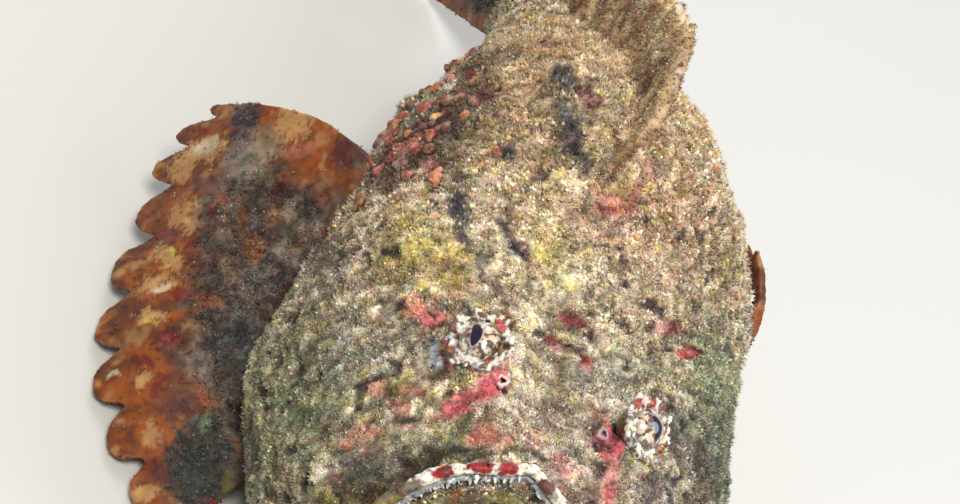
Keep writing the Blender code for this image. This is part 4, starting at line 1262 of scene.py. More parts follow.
class STONEFISH_OT_skin(bpy.types.Operator):
    """Make one warty skin over the head, lower jaw, trunk and tail stock"""

    bl_idname = "stonefish.skin"
    bl_label = "Skin"

    def execute(self, context):
        skin = solid_copy("skin", FLESH, FLESH_SWELLING)
        remesh(skin, sizes().skin_voxel)
        skin = keep_largest(skin)
        smooth(skin, 6)
        points, normals = points_of(skin), normals_of(skin)
        points -= normals * (sizes().coat_depth + SKIN_MARGIN)
        face = tree_of(skin)
        turns = np.linspace(MOUTH_LINE_TURN, math.pi - MOUTH_LINE_TURN, MOUTH_LINE_POINTS)
        line, outward, _ = on_arch(face, 0, turns)
        closest, off = nearest(points, line)
        points -= outward[closest] * (MOUTH_LINE_DEPTH * np.exp(-((off / MOUTH_LINE_WIDTH) ** 2)))[:, None]
        points -= normals * self.folds(points, off)[:, None]
        set_points(skin, points)
        self.level(skin, list(EYES.values()), *LEVEL_AT_EYES)
        self.level(skin, line, *LEVEL_AT_LIPS)
        for row in RELIEFS:
            relief(skin, *row)
        points = points_of(skin)
        points -= normals_of(skin) * (PIT_DEPTH * pits_of(points) * smoothstep(2 * MM, 4 * MM, off))[:, None]
        points[:, 2] = np.maximum(points[:, 2], SKIN_LOWEST)
        set_points(skin, points)
        tree = tree_of(skin)
        raised, markings = self.raised(skin, points), Markings(tree)
        MADE.update(skin=skin, face=face, tree=tree, raised=raised, markings=markings, bare=[], lips=[])
        # Painted shade and light: hollows darker, warts lighter, and the skin darker under the turf than
        # under bare crust
        painted_shading = 0.6 + 0.3 * raised + 0.2 * markings.crust(points)
        shown = markings.at(points) * painted_shading[:, None]
        # Painted shade: black along the mouth's pressed-in line
        set_marks(skin, mixed(shown, colour("black"), np.exp(-((off / MOUTH_SHADE_WIDTH) ** 2))))
        material = marked_material("turfed skin")
        finish_piece(skin, material, "skin", *FLESH)
        return {"FINISHED"}

    @staticmethod
    def folds(points, off):
        """How deep the face's folds are at each point. There are none at the mouth's line."""
        fold = np.clip(1 - np.abs(cloud(points, FOLD_SIZE, 53, 2)) * 3.2, 0, 1)
        along, _, up = unbend(points).T
        on_face = smoothstep(FACE_END[1], FACE_END[0], along) * smoothstep(8 * MM, 20 * MM, up)
        return fold**2 * on_face * smoothstep(2 * MM, 5 * MM, off) * FOLD_DEPTH

    @staticmethod
    def level(skin, centres, reach, times):
        """Smooths the skin near these places, where finer pieces take over from the solids' forms."""
        away = nearest(points_of(skin), centres)[1]
        group = skin.vertex_groups.new(name="Level")
        for number in np.flatnonzero(away < reach):
            group.add([int(number)], min(1.0, 3 * (1 - away[number] / reach)), "REPLACE")
        apply_modifier(skin, "Level", "SMOOTH", factor=0.9, iterations=times, vertex_group=group.name)
        skin.vertex_groups.clear()

    @staticmethod
    def raised(skin, points):
        """How far each point stands out of its surroundings, from -1 in a hollow to 1 on a wart."""
        smoothed = new_piece("smoothed", skin.data.copy())
        smooth(smoothed, 14)
        height = np.einsum("ij,ij->i", points - points_of(smoothed), normals_of(smoothed))
        bpy.data.objects.remove(smoothed)
        return np.clip(height / WART_HEIGHT, -1, 1)


def reach_out(fin, points, tree):
    """How far out each point of a fin lies, from 0 at the body to 1 at the margin.

    The margin is the farthest that nearly all points reach, in each sector of a fan or stretch of the others.
    """
    far = np.array([tree.find_nearest(Vector(point))[3] or 0 for point in points])
    places = unbend(points)
    if fin in FAN_FINS:
        spread = places - places[far < FIN_ROOT_MIDDLE].mean(0)
        # A few of the points are enough for the fan's own directions
        axes = np.linalg.svd(spread[::25] - spread[::25].mean(0), full_matrices=False)[2]
        across = np.arctan2(spread @ axes[1], spread @ axes[0])
        middle = np.arctan2((spread @ axes[1]).mean(), (spread @ axes[0]).mean())
        across = (across - middle + math.pi) % math.tau - math.pi
        far = np.linalg.norm(spread, axis=1)
    else:
        across = places[:, 0]
    low, high = np.percentile(across, [1, 99])
    across = np.clip((across - low) / (high - low), 0, 1)
    sector = np.clip((across * FIN_SECTORS).astype(int), 0, FIN_SECTORS - 1)
    most = np.zeros(FIN_SECTORS)
    for n in np.unique(sector):
        most[n] = np.percentile(far[sector == n], 98)
    most = np.maximum(np.interp(across, (np.arange(FIN_SECTORS) + 0.5) / FIN_SECTORS, most), 1 * MM)
    return np.clip(far / most, 0, 1)


class STONEFISH_OT_fins(bpy.types.Operator):
    """Make each fin a fleshy, lumpy vane that runs into the skin"""

    bl_idname = "stonefish.fins"
    bl_label = "Fins"

    def execute(self, context):
        tree = MADE["tree"]
        material = marked_material("fin flesh")
        MADE["fins"] = []
        for name in FINS:
            fin = solid_copy(name.replace("_fin", "") + "_vane", [name], FIN_SWELLING)
            points = points_of(fin)
            # The fin's root is sunk into the skin, so that no gap shows between them
            for i, point in enumerate(points):
                _, normal, _, away = tree.find_nearest(Vector(point))
                if away < FIN_ROOT_REACH:
                    points[i] -= np.array(normal) * FIN_ROOT_DEPTH
            set_points(fin, points)
            remesh(fin, sizes().fin_voxel * (1 if name == NEAR_FIN else FAR_FIN_GRAIN))
            smooth(fin, 6)
            points, normals = points_of(fin), normals_of(fin)
            out = reach_out(name, points, tree)
            inner = smoothstep(0.95, 0.45, out) if name in FAN_FINS else np.ones(len(out))
            lumps = 0.35 * blobs(points, 5 * MM, 57) + 0.4 * inner * cloud(points, 2.4 * MM, 59)
            points += normals * ((lumps - 0.1) * MM)[:, None]
            points[:, 2] = np.maximum(points[:, 2], FIN_LOWEST)
            set_points(fin, points)
            if name in BACK_FINS:
                set_marks(fin, self.back_colours(points, out))
            else:
                patches = placed(FIN_PATCHES, tree_of(fin)) if name == NEAR_FIN else []
                set_marks(fin, self.fan_colours(points, out, patches))
            MADE["fins"].append((fin, name, out))
            finish_piece(fin, material, "tail" if name == "caudal_fin" else "fin", name)
        return {"FINISHED"}

    @staticmethod
    def back_colours(points, out):
        """Turf colours, with golden, dark and rusty blotches and a pale margin."""
        wide, fine = cloud(points, 9 * MM, 61), cloud(points, 3 * MM, 67)
        shown = MADE["markings"].mottled(points) * 0.75
        shown = mixed(Markings.grained(points, shown), colour("gold") * 0.8, 0.4 + 0.3 * wide)
        shown = blotched(points, shown, colour("slate"), 0.7, 11 * MM, 63, 0.3, 0.6)
        shown = blotched(points, shown, colour("maroon"), 0.7, 6 * MM, 73, 0.42, 0.6)
        shown = blotched(points, shown, colour("rust"), 0.6, 7 * MM, 75, 0.2, 0.5, 2)
        return mixed(shown, colour("cream"), 0.5 * smoothstep(0.92, 1.0, out) * smoothstep(-0.2, 0.3, fine))

    @staticmethod
    def fan_colours(points, out, patches):
        """Dark turf, then blotches and patches, then an orange margin."""
        wide, fine = cloud(points, 9 * MM, 61), cloud(points, 3 * MM, 67)
        shown = mixed(MADE["markings"].mottled(points) * 0.42, colour("maroon") * 0.8, 0.35)
        shown = mixed(shown, colour("slate") * 0.8, 0.4 + 0.4 * wide)
        shown = blotched(points, shown, colour("maroon") * 0.8, 0.8, 6 * MM, 79, -0.1, 0.4)
        rim = smoothstep(0.42, 0.72, out + 0.16 * wide + 0.08 * fine)
        flesh = mixed(all_over(points, colour("rust")), colour("orange"), smoothstep(-0.6, 0.7, fine + wide))
        flesh = blotched(points, flesh, colour("gold"), 0.6, 6 * MM, 71, 0.3, 0.65)
        shown = mixed(shown, flesh, rim)
        spots = smoothstep(0.42, 0.56, cloud(points, 5 * MM, 73)) * smoothstep(0.2, 0.5, out)
        shown = mixed(shown, colour("red") * 0.8, 0.85 * spots * smoothstep(0.98, 0.8, out))
        shown = mixed(shown, colour("gold"), 0.5 * smoothstep(0.9, 1.0, out) * smoothstep(0.0, 0.5, fine))
        if patches:
            shown = painted(points, shown, patches, 1.5 * MM, 1.5 * MM, 0.6)
        inner = 1 - 0.75 * rim
        shown = mixed(shown, cell_colours(points, 1.6 * MM, 227) * 0.5, 0.3 * inner)
        mottle = 0.45 * cloud(points, 2.6 * MM, 229) + 0.45 * cloud(points, 7 * MM, 231)
        return shown * np.clip(0.63 - 0.2 * inner + inner * mottle, 0.14, None)[:, None]


def eye_axes(side):
    """Which way an eye looks, and its own upward and sideways directions."""
    look = unit(fish_way(EYE_LOOK[0] if side == "left" else -EYE_LOOK[0], *EYE_LOOK[1:]))
    upward = unit(UPWARD - look * (UPWARD @ look))
    return look, upward, np.cross(upward, look)


class STONEFISH_OT_eyes(bpy.types.Operator):
    """Make the two glossy eyes, with slit pupils and streaked irises"""

    bl_idname = "stonefish.eyes"
    bl_label = "Eyes"

    def execute(self, context):
        material = marked_material("wet eye")
        principled = material.node_tree.nodes["Principled BSDF"]
        principled.inputs["Coat Weight"].default_value = 1
        principled.inputs["Coat Roughness"].default_value = 0.03
        for side, centre in EYES.items():
            eye = new_ball(6, sizes().eye_radius, centre)
            eye.name = f"eyeball_{side}"
            bpy.ops.object.transform_apply(location=True, rotation=False, scale=False)
            set_marks(eye, self.colours(points_of(eye), side, centre))
            finish_piece(eye, material, "eye", f"eye_{side}")
        return {"FINISHED"}

    @staticmethod
    def colours(points, side, centre):
        """A pale, mottled iris with dark streaks round a slit, and dark flesh behind it."""
        look, upward, across = eye_axes(side)
        away = points - centre
        x, y, z = away @ across, away @ upward, away @ look
        slit = np.where(z > 0, np.hypot((x + PUPIL_CURVE * y * y) / PUPIL[0], y / PUPIL[1]), 9)
        turn = np.arctan2(y, x) + 0.6 * cloud(points, 1.5 * MM, 97, 2)
        pale = smoothstep(-0.4, 0.5, cloud(points, 1.1 * MM, 101))
        shown = mixed(all_over(points, colour("gold") * 0.9), colour("white"), 0.35 + 0.6 * pale)
        streaks = smoothstep(0.1, 0.6, np.sin(turn * 8) + 0.5 * cloud(points, 0.9 * MM, 99, 2))
        shown = mixed(shown, colour("black"), 0.85 * streaks * smoothstep(1.05, 1.4, slit))
        shown = blotched(points, shown, colour("umber"), 0.75, 1.4 * MM, 103, 0.1, 0.5)
        shown = blotched(points, shown, colour("maroon"), 0.85, 1.2 * MM, 107, 0.2, 0.4)
        shown = mixed(shown, colour("umber") * 0.7, 0.7 * smoothstep(1.9, 1.1, slit) * pale)
        shown = mixed(shown, colour("umber"), smoothstep(4.2 * MM, 1.2 * MM, z))
        return mixed(shown, colour("violet") * 0.6, smoothstep(1.06, 0.96, slit))


class STONEFISH_OT_lids(bpy.types.Operator):
    """Ring each eye with a lid of frilled flaps, and make the two nostrils"""

    bl_idname = "stonefish.lids"
    bl_label = "Lids and nostrils"

    def execute(self, context):
        draw = np.random.default_rng(SEED + 2)
        material = marked_material("frilled lid")
        for side, centre in EYES.items():
            look, upward, across = eye_axes(side)
            middle = centre + look * LID_OUT
            balls = Balls()
            for step in range(LID_BALLS):
                turn = math.tau * step / LID_BALLS
                spoke = across * math.cos(turn) + upward * math.sin(turn)
                place = middle + spoke * (LID_RADIUS + draw.normal(0, 0.15) * MM) - look * 0.3 * MM
                radius = draw.uniform(1.0, 1.35) * MM
                balls.add([place], [radius], colour(RIM_COLOURS[draw.integers(len(RIM_COLOURS))]) * 0.85)
            for flap in range(LID_FLAPS):
                turn = math.tau * (flap + draw.uniform(-0.4, 0.4)) / LID_FLAPS
                spoke = across * math.cos(turn) + upward * math.sin(turn)
                self.add_flap(balls, middle, look, spoke, draw)
            lid = balls.fused(f"lid_{side}", LID_VOXEL, 3)
            points = points_of(lid)
            shown = balls.tints_near(points + cloud(points, 1 * MM, 109, 2)[:, None] * 0.2 * MM)
            shown = painted(points, shown, placed(EYE_PATCHES, tree_of(lid)), 1.5 * MM, 0.4 * MM)
            shown = mixed(shown, cell_colours(points, 0.9 * MM, 169), 0.22)
            low = smoothstep(0.2 * MM, -0.9 * MM, (points - middle) @ look)
            shown = mixed(shown, MADE["markings"].at(points), 0.85 * low)
            set_marks(lid, blotched(points, shown, colour("umber") * 0.45, 0.85, 1.1 * MM, 113, 0.05, 0.4))
            finish_piece(lid, material, "skin")
            MADE["bare"].append((centre + look * EYE_BARE[0], EYE_BARE[1]))
        self.nostrils(material)
        return {"FINISHED"}

    @staticmethod
    def add_flap(balls, middle, look, spoke, draw):
        """Adds a forked flap of skin that stands on the lid's rim at the end of a spoke."""
        along = np.cross(look, spoke)
        root = middle + spoke * (LID_RADIUS + draw.uniform(-0.8, 1.6) * MM)
        root += look * draw.uniform(0, 0.7) * MM
        way = spoke * draw.uniform(-0.5, 0.9) + look * draw.uniform(0.4, 0.9) + along * draw.normal(0, 0.5)
        way = unit(way)
        curl = along * draw.normal(0, 0.4) + spoke * draw.normal(0.1, 0.3)
        length = sizes().lappet_length * draw.uniform(0.25, 0.8)
        stem, thick = string_of_balls(root, way, curl, length, 0.8 * MM, 0.46 * MM, 4)
        fork = along * draw.choice([-1, 1]) * 0.9 + way * 0.3
        branch, thin = string_of_balls(stem[2], fork, 0, 0.9 * MM, 0.55 * MM, 0.4 * MM, 2)
        name = draw.choice(list(FLAP_COLOURS), p=list(FLAP_COLOURS.values()))
        balls.add(stem + branch, thick + thin, colour(name))

    @staticmethod
    def nostrils(material):
        """Two short tubes in front of the eyes, each a turned profile with its inside painted black as shade.
        """
        sides, rings = NOSTRIL_SIDES, len(NOSTRIL_PROFILE)
        turns = math.tau * np.arange(sides) / sides
        last = (rings - 1) * sides
        foot, inside = rings * sides, rings * sides + 1
        corners = []
        for n in range(sides):
            after = (n + 1) % sides
            for low in range(0, last, sides):
                high = low + sides
                corners += [(low + n, low + after, high + after), (low + n, high + after, high + n)]
            corners += [(after, n, foot), (last + n, last + after, inside)]
        ring = np.append(np.repeat(np.arange(rings), sides), [0, rings])
        on_rim = (ring >= NOSTRIL_RIM) & (ring < NOSTRIL_INSIDE)
        for side, sign in (("left", 1), ("right", -1)):
            above = bend([(NOSTRIL[0], sign * NOSTRIL[1], ABOVE_FISH)])[0]
            base = np.array(MADE["tree"].ray_cast(Vector(above), Vector((0, 0, -1)))[0])
            way = unit(fish_way(0.25 * sign, -0.35, 0.9)[None])
            first, second = frames_of(way)
            spokes = first * np.cos(turns)[:, None] + second * np.sin(turns)[:, None]
            points = []
            for radius, height in NOSTRIL_PROFILE:
                ragged = 1 + 0.16 * np.sin(3 * turns + height * 2 + sign) + 0.1 * np.sin(7 * turns)
                points.append(base + spokes * (radius * ragged * MM)[:, None] + way * height * MM)
            points = np.concatenate([*points, base - way * 1.6 * MM, base - way * 0.7 * MM])
            piece = new_piece(f"nostril_{side}", mesh_from("nostril", points, np.array(corners)))
            tint = mixed(colour("rose"), colour("white" if side == "right" else "blue"), 0.6)
            shown = mixed(MADE["markings"].at(points), tint, np.where(on_rim, 0.85, 0))
            # Painted shade: the inside of each tube is black
            set_marks(piece, mixed(shown, colour("black"), np.where(ring >= NOSTRIL_INSIDE, 1.0, 0)))
            finish_piece(piece, material, "skin")
            MADE["bare"].append((base, NOSTRIL_BARE))


class STONEFISH_OT_lips(bpy.types.Operator):
    """Make the banded lips and the fringe of cirri that hangs over the mouth"""

    bl_idname = "stonefish.lips"
    bl_label = "Lips and fringe"

    def execute(self, context):
        draw = np.random.default_rng(SEED + 3)
        flesh = marked_material("lip flesh")
        turns = np.linspace(LIP_TURN, math.pi - LIP_TURN, LIP_POINTS)
        radius = sizes().lip_radius
        # Each lip's line, how far inside the mouth it lies, its radius, how far it stands out and its colours
        rows = (
            ("upper_lip", LIP_OFFSET + UPPER_LIP_RAISED, 0, radius, 0.35, self.upper_tints),
            ("lip_lining", LIP_OFFSET, 1.75 * MM, 0.62 * radius, 0.25, self.lining_tints),
            ("lower_lip", -LIP_OFFSET, 0, 0.9 * radius, 0.2, self.lower_tints),
        )
        for name, offset, inside, thick, lift, tinted in rows:
            points, ways, kept = on_arch(MADE["face"], offset, turns)
            lumps = 1 + 0.3 * blobs(points, 2.2 * MM, 127) + 0.12 * blobs(points, 0.9 * MM, 129)
            taper = np.minimum(1, 0.35 + 7 * np.minimum(kept - LIP_TURN, math.pi - LIP_TURN - kept))
            radii = thick * lumps * np.clip(taper, 0.35, 1)
            centres = points + ways * (lift * thick) + inward_ways(kept) * inside
            across = frames_of(draw.normal(0, 1, (2 * len(centres), 3)))[0]
            grains = np.repeat(centres, 2, 0) + across * thick * 0.8
            grain_radii = draw.uniform(0.3, 0.55, len(grains)) * MM
            balls = np.concatenate([centres, grains]), np.concatenate([radii, grain_radii])
            lip = fused(name, *balls, LIP_VOXEL, 2)
            rough, normals = points_of(lip), normals_of(lip)
            rough += normals * (0.22 * MM * cloud(rough, 1.2 * MM, 133))[:, None]
            set_points(lip, rough)
            warp = warped(rough, 1.6 * MM, (131, 132, 134), 1.3 * MM, 2)
            shown = nearest_tints(rough + warp, centres, tinted(centres))
            shown = blotched(rough, shown, colour("grey") * 0.75, 0.6, 0.8 * MM, 135, 0.1, 0.6)
            shown = np.minimum(Markings.grained(rough, shown, 0.14, 0.14), 0.92)
            if name == "upper_lip":
                patches = placed(self.on_line(centres), tree_of(lip))
                shown = painted(rough, shown, patches, 1.6 * MM, 0.8 * MM, 0.4)
            set_marks(lip, blotched(rough, shown, colour("umber") * 0.6, 0.8, 1.1 * MM, 136, 0.3, 0.6))
            finish_piece(lip, flesh, "jaw" if name == "lower_lip" else "skin")
            MADE["lips"].append(centres)
        for fringe in FRINGES:
            self.fringe(*fringe, draw, flesh)
        return {"FINISHED"}

    @staticmethod
    def on_line(centres):
        """The lip's patches with their pixel rows, which follow the lip's line as the camera sees it."""
        line = pixels_of(centres[centres[:, 2] > LIP_FRONT_UP])
        line = line[np.argsort(line[:, 0])]
        return [(row[0], row[1], np.interp(row[1], *line.T) + row[2], *row[3:]) for row in LIP_PATCHES]

    @staticmethod
    def upper_tints(centres):
        """White, with red blocks in a steady rhythm where the camera doesn't see the lip."""
        run = np.cumsum(np.linalg.norm(np.diff(centres, axis=0, prepend=centres[:1]), axis=1))
        block = (run / LIP_BLOCK).astype(int)
        red = (pixels_of(centres)[:, 1] > PICTURE_HIGH) & (block % 2 == 0)
        dark = red & (block % 6 == 0)
        shown = np.where(red[:, None], colour("red"), colour("white") * 0.94)
        return np.where(dark[:, None], colour("maroon"), shown)

    @staticmethod
    def lining_tints(centres):
        """Blue-grey, with darker stretches."""
        dark = 0.3 + 0.4 * blobs(centres, 2 * MM, 137)
        return mixed(all_over(centres, colour("blue")), colour("slate"), dark)

    @staticmethod
    def lower_tints(centres):
        """Dark brown, with olive, pale red and red stretches."""
        shown = all_over(centres, colour("umber"))
        shown = mixed(shown, colour("olive") * 0.5, smoothstep(-0.3, 0.4, blobs(centres, 4 * MM, 139)))
        shown = mixed(shown, colour("salmon"), smoothstep(0.25, 0.5, blobs(centres, 3.4 * MM, 149)))
        return mixed(shown, colour("red"), smoothstep(0.5, 0.62, blobs(centres, 3 * MM, 151)))

    @staticmethod
    def fringe(name, offset, inside, count, names, draw, material):
        """Cirri along a lip that hang over the mouth."""
        turns = np.linspace(LIP_TURN * 1.3, math.pi - LIP_TURN * 1.3, count)
        roots, ways, kept = on_arch(MADE["face"], offset, turns)
        inward = inward_ways(kept) * math.copysign(1, inside)
        roots = roots + inward * abs(inside) + ways * 0.4 * MM + draw.normal(0, 0.25 * MM, roots.shape)
        balls = Balls()
        for root, way, over in zip(roots, ways, inward):
            out = way * draw.uniform(0.2, 0.7) + over * draw.uniform(0.5, 0.9) + draw.normal(0, 0.25, 3)
            length = sizes().fringe_length * draw.uniform(0.2, 0.55)
            thick = draw.uniform(0.28, 0.42) * MM
            string = string_of_balls(root, unit(out), over * 0.3, length, thick, 0.85 * thick, 5)
            balls.add(*string, colour(names[draw.integers(len(names))]))
        fringe = balls.fused(name, FRINGE_VOXEL, 2)
        points = points_of(fringe)
        shown = balls.tints_near(points) * (1 + 0.2 * cloud(points, 0.9 * MM, 165, 2))[:, None]
        set_marks(fringe, blotched(points, shown, colour("slate") * 0.7, 0.7, 1.2 * MM, 167, 0.25, 0.6))
        finish_piece(fringe, material, "skin")


class STONEFISH_OT_nodules(bpy.types.Operator):
    """Set the glossy red and orange nodules on the flanks"""

    bl_idname = "stonefish.nodules"
    bl_label = "Nodules"

    def execute(self, context):
        draw = np.random.default_rng(SEED + 4)
        tree = MADE["tree"]
        balls = Balls()
        for name, x, y, radius in NODULES:
            for shift in NODULE_SHIFTS:
                hit, normal = tree.ray_cast(Vector(CAMERA_PLACE), pixel_way(x + shift, y))[:2]
                if hit is not None:
                    break
            self.add_nodule(balls, hit, normal, radius * NODULE_SCALE * MM, colour(name), draw)
        for _ in range(NATURAL_CLUSTERS):
            along = draw.uniform(60, 225) * MM
            degrees = draw.choice([draw.uniform(-10, 65), draw.uniform(115, 190)])
            for _ in range(draw.integers(3, 8)):
                spread = draw.normal(0, 5 * MM), draw.normal(0, 6)
                hit, normal = hit_round(tree, along + spread[0], degrees + spread[1])
                if hit is None or Markings.seen(np.array(hit), tree) or hit.z < 8 * MM:
                    continue
                tint = colour(NODULE_COLOURS[draw.integers(len(NODULE_COLOURS))])
                radius = draw.uniform(0.9, 1.9) * MM
                self.add_nodule(balls, hit, normal, radius, tint, draw)
        piece = balls.fused("nodules", NODULE_VOXEL, 3)
        points = points_of(piece)
        points += normals_of(piece) * (0.4 * MM * cloud(points, 1.8 * MM, 159))[:, None]
        set_points(piece, points)
        deep = np.array([tree.find_nearest(Vector(point))[3] for point in points])
        shown = balls.tints_near(points) * (1 + 0.4 * cloud(points, 1.2 * MM, 157, 2))[:, None]
        shown = mixed(shown, cell_colours(points, 1.3 * MM, 161), 0.22)
        # Painted shade: each nodule darker near its foot, where it meets the skin
        set_marks(piece, mixed(shown, colour("umber") * 0.4, smoothstep(0.9 * MM, 0.2 * MM, deep)))
        material = marked_material("nodule")
        finish_piece(piece, material, "skin")
        return {"FINISHED"}

    @staticmethod
    def add_nodule(balls, hit, normal, radius, tint, draw):
        """Adds one nodule: a ball with a few smaller ones round its foot."""
        hit, normal = np.array(hit), np.array(normal)
        balls.add([hit + normal * radius * 0.1], [radius], tint)
        MADE["bare"].append((hit, radius * 0.9))
        first, second = frames_of(normal[None])
        for _ in range(draw.integers(3, 7)):
            turn = draw.uniform(0, math.tau)
            beside = first[0] * math.cos(turn) + second[0] * math.sin(turn)
            place = hit + beside * radius * draw.uniform(0.7, 1.9) - normal * radius * 0.1
            balls.add([place], [radius * draw.uniform(0.35, 0.7)], tint * draw.uniform(0.5, 1.2))


def scattered(piece, count, draw, weigh):
    """Random places on a piece, its normals and a corner's number there, by each triangle's weighed share."""
    points, normals = points_of(piece), normals_of(piece)
    triangles = triangles_of(piece)
    a, b, c = (points[triangles[:, i]] for i in range(3))
    cross = np.cross(b - a, c - a)
    area = np.linalg.norm(cross, axis=1) / 2
    facing = cross / (2 * area[:, None] + 1e-12)
    share = area * weigh((a + b + c) / 3, facing, triangles)
    chosen = draw.choice(len(triangles), count, p=share / share.sum())
    u, v = draw.random(count), draw.random(count)
    over = u + v > 1
    u, v = np.where(over, 1 - u, u), np.where(over, 1 - v, v)
    w = 1 - u - v
    corners = triangles[chosen]
    place = a[chosen] * w[:, None] + b[chosen] * u[:, None] + c[chosen] * v[:, None]
    return place, unit(normals[corners].sum(1)), corners[:, 0]


def unwrapped(points):
    """Each point's place on an unwrap of the body: back from the snout, round its middle line."""
    along, side, up = unbend(points).T
    high = up - BODY_MIDDLE_UP
    round_it = np.arctan2(high, side) / math.tau + 0.5
    out = np.hypot(side, high)
    before = np.arctan2(out, np.maximum(BODY_CAP_ALONG - along, 0)) * BODY_CAP_ALONG
    after = np.maximum(along - BODY_CAP_ALONG, 0)
    back = (before + after) / (BODY_LENGTH + BODY_CAP_ALONG)
    return np.stack([0.02 + 0.96 * back, 0.01 + 0.98 * round_it], -1)


def growth(points):
    """How long the turf grows at each point, from 0.6 on the face to 0.9 behind the head."""
    return 0.6 + 0.3 * smoothstep(45 * MM, 105 * MM, unbend(points)[:, 0])


def filaments(place, normal, tail, length, draw):
    """A thin filament at each place, leaning towards the tail: three corners round its foot and its tip."""
    rows = (len(place), 1)
    way = normal + tail * draw.uniform(0.0, 0.7, rows)
    way += draw.normal(0, 0.42, place.shape)
    way = unit(way)
    first, second = frames_of(way)
    wide = draw.uniform(0.1, 0.2, rows) * MM
    foot = place + (first * draw.normal(0, 0.28, rows) + second * draw.normal(0, 0.28, rows)) * MM
    long = length[:, None] * draw.uniform(0.55, 1.25, rows)
    spin = draw.uniform(0, math.tau, rows)
    ring = []
    for corner in range(3):
        turn = spin + math.tau * corner / 3
        ring.append(foot - way * 0.25 * MM + (first * np.cos(turn) + second * np.sin(turn)) * wide)
    return np.stack([*ring, foot + way * long], 1)


def granules(place, normal, length, draw):
    """A rounded granule at each place: four corners round it, its top and its foot."""
    rows = (len(place), 1)
    radius = draw.uniform(0.6, 1.25, rows) * sizes().granule_radius
    radius *= (length / sizes().tuft_length)[:, None]
    first, second = frames_of(normal)
    spin = draw.uniform(0, math.tau, rows)
    one = first * np.cos(spin) + second * np.sin(spin)
    two = second * np.cos(spin) - first * np.sin(spin)
    middle = place + normal * radius * 0.45
    corners = []
    for way in (one, two, -one, -two, normal * 1.25, -normal):
        stretch = draw.uniform(0.7, 1.3, rows)
        corners.append(middle + way * radius * stretch)
    return np.stack(corners, 1)


def painted_corner_light(tint, corner_light, spread, draw):
    """Each corner's colour: its tuft's colour by the corner's painted light and shade, and a random tone."""
    own = draw.lognormal(0, spread, (len(tint), 1))
    return tint[:, None, :] * np.array(corner_light)[None, :, None] * own[:, :, None]


def coat_arrays(place, normal, length, tint, draw):
    """Tufts of thin filaments and rounded granules at these places: points, triangles, colours and roots."""
    tail = unit(bend(unbend(place) + [1 * MM, 0, 0]) - place)
    granular = draw.random(len(place)) < GRANULAR_SHARE
    thin, thick = np.flatnonzero(~granular), np.flatnonzero(granular)
    forms = []
    for _ in range(STRANDS):
        shape = filaments(place[thin], normal[thin], tail[thin], length[thin], draw)
        forms.append((thin, FILAMENT_FACES, shape, painted_corner_light(tint[thin], FILAMENT_PAINTED_LIGHT, 0.16, draw)))
    shape = granules(place[thick], normal[thick], length[thick], draw)
    forms.append((thick, GRANULE_FACES, shape, painted_corner_light(tint[thick], GRANULE_PAINTED_LIGHT, 0.12, draw)))
    points, triangles, colours, roots = [], [], [], []
    start = 0
    for tufts, faces, shape, shades in forms:
        corners = shape.shape[1]
        first = start + corners * np.arange(len(tufts))
        points.append(shape.reshape(-1, 3))
        triangles.append((first[:, None, None] + np.array(faces)).reshape(-1, 3))
        colours.append(shades.reshape(-1, 3))
        roots.append(np.repeat(tufts, corners))
        start += corners * len(tufts)
    return np.concatenate(points), np.concatenate(triangles), np.concatenate(colours), np.concatenate(roots)


def speckled(tint, draw):
    """Each tuft's own shade of the markings, with a few tufts of other colours among them."""
    count = len(tint)
    shown = tint * draw.lognormal(0.04, 0.24, (count, 1))
    shown *= 1 + draw.normal(0, 0.07, (count, 3))
    kind = draw.random(count)
    for low, high, name, cover in TUFT_SPECKS:
        chosen = (kind >= low) & (kind < high)
        weight = cover * np.clip(tint[chosen].mean(1) / 0.25, 0.25, 1)
        shown[chosen] = mixed(shown[chosen], colour(name), weight)
    return shown


def make_coat(name, place, normal, length, tint, draw, material, slot):
    """Makes the coat of a region as joined meshes of about MOST_TRIANGLES triangles at most, from front to
    back.
    """
    order = np.argsort(unbend(place)[:, 0])
    groups = math.ceil(len(order) * TRIANGLES_PER_TUFT / MOST_TRIANGLES)
    for number, group in enumerate(np.array_split(order, groups), 1):
        tufts = [values[group] for values in (place, normal, length, tint)]
        points, triangles, colours, roots = coat_arrays(*tufts, draw)
        points[:, 2] = np.maximum(points[:, 2], COAT_LOWEST)
        piece = new_piece(f"{name}_{number}", mesh_from(name, points, triangles))
        set_marks(piece, colours)
        patch = unwrapped(place[group])[roots] + draw.uniform(-1, 1, (len(roots), 2)) * (BAKE_PATCH / 2)
        layer = piece.data.uv_layers.new(name="OFBake")
        corners = np.clip(patch, 0, 1)[triangles.ravel()]
        layer.data.foreach_set("uv", corners.astype(np.float32).ravel())
        finish_piece(piece, material, slot)


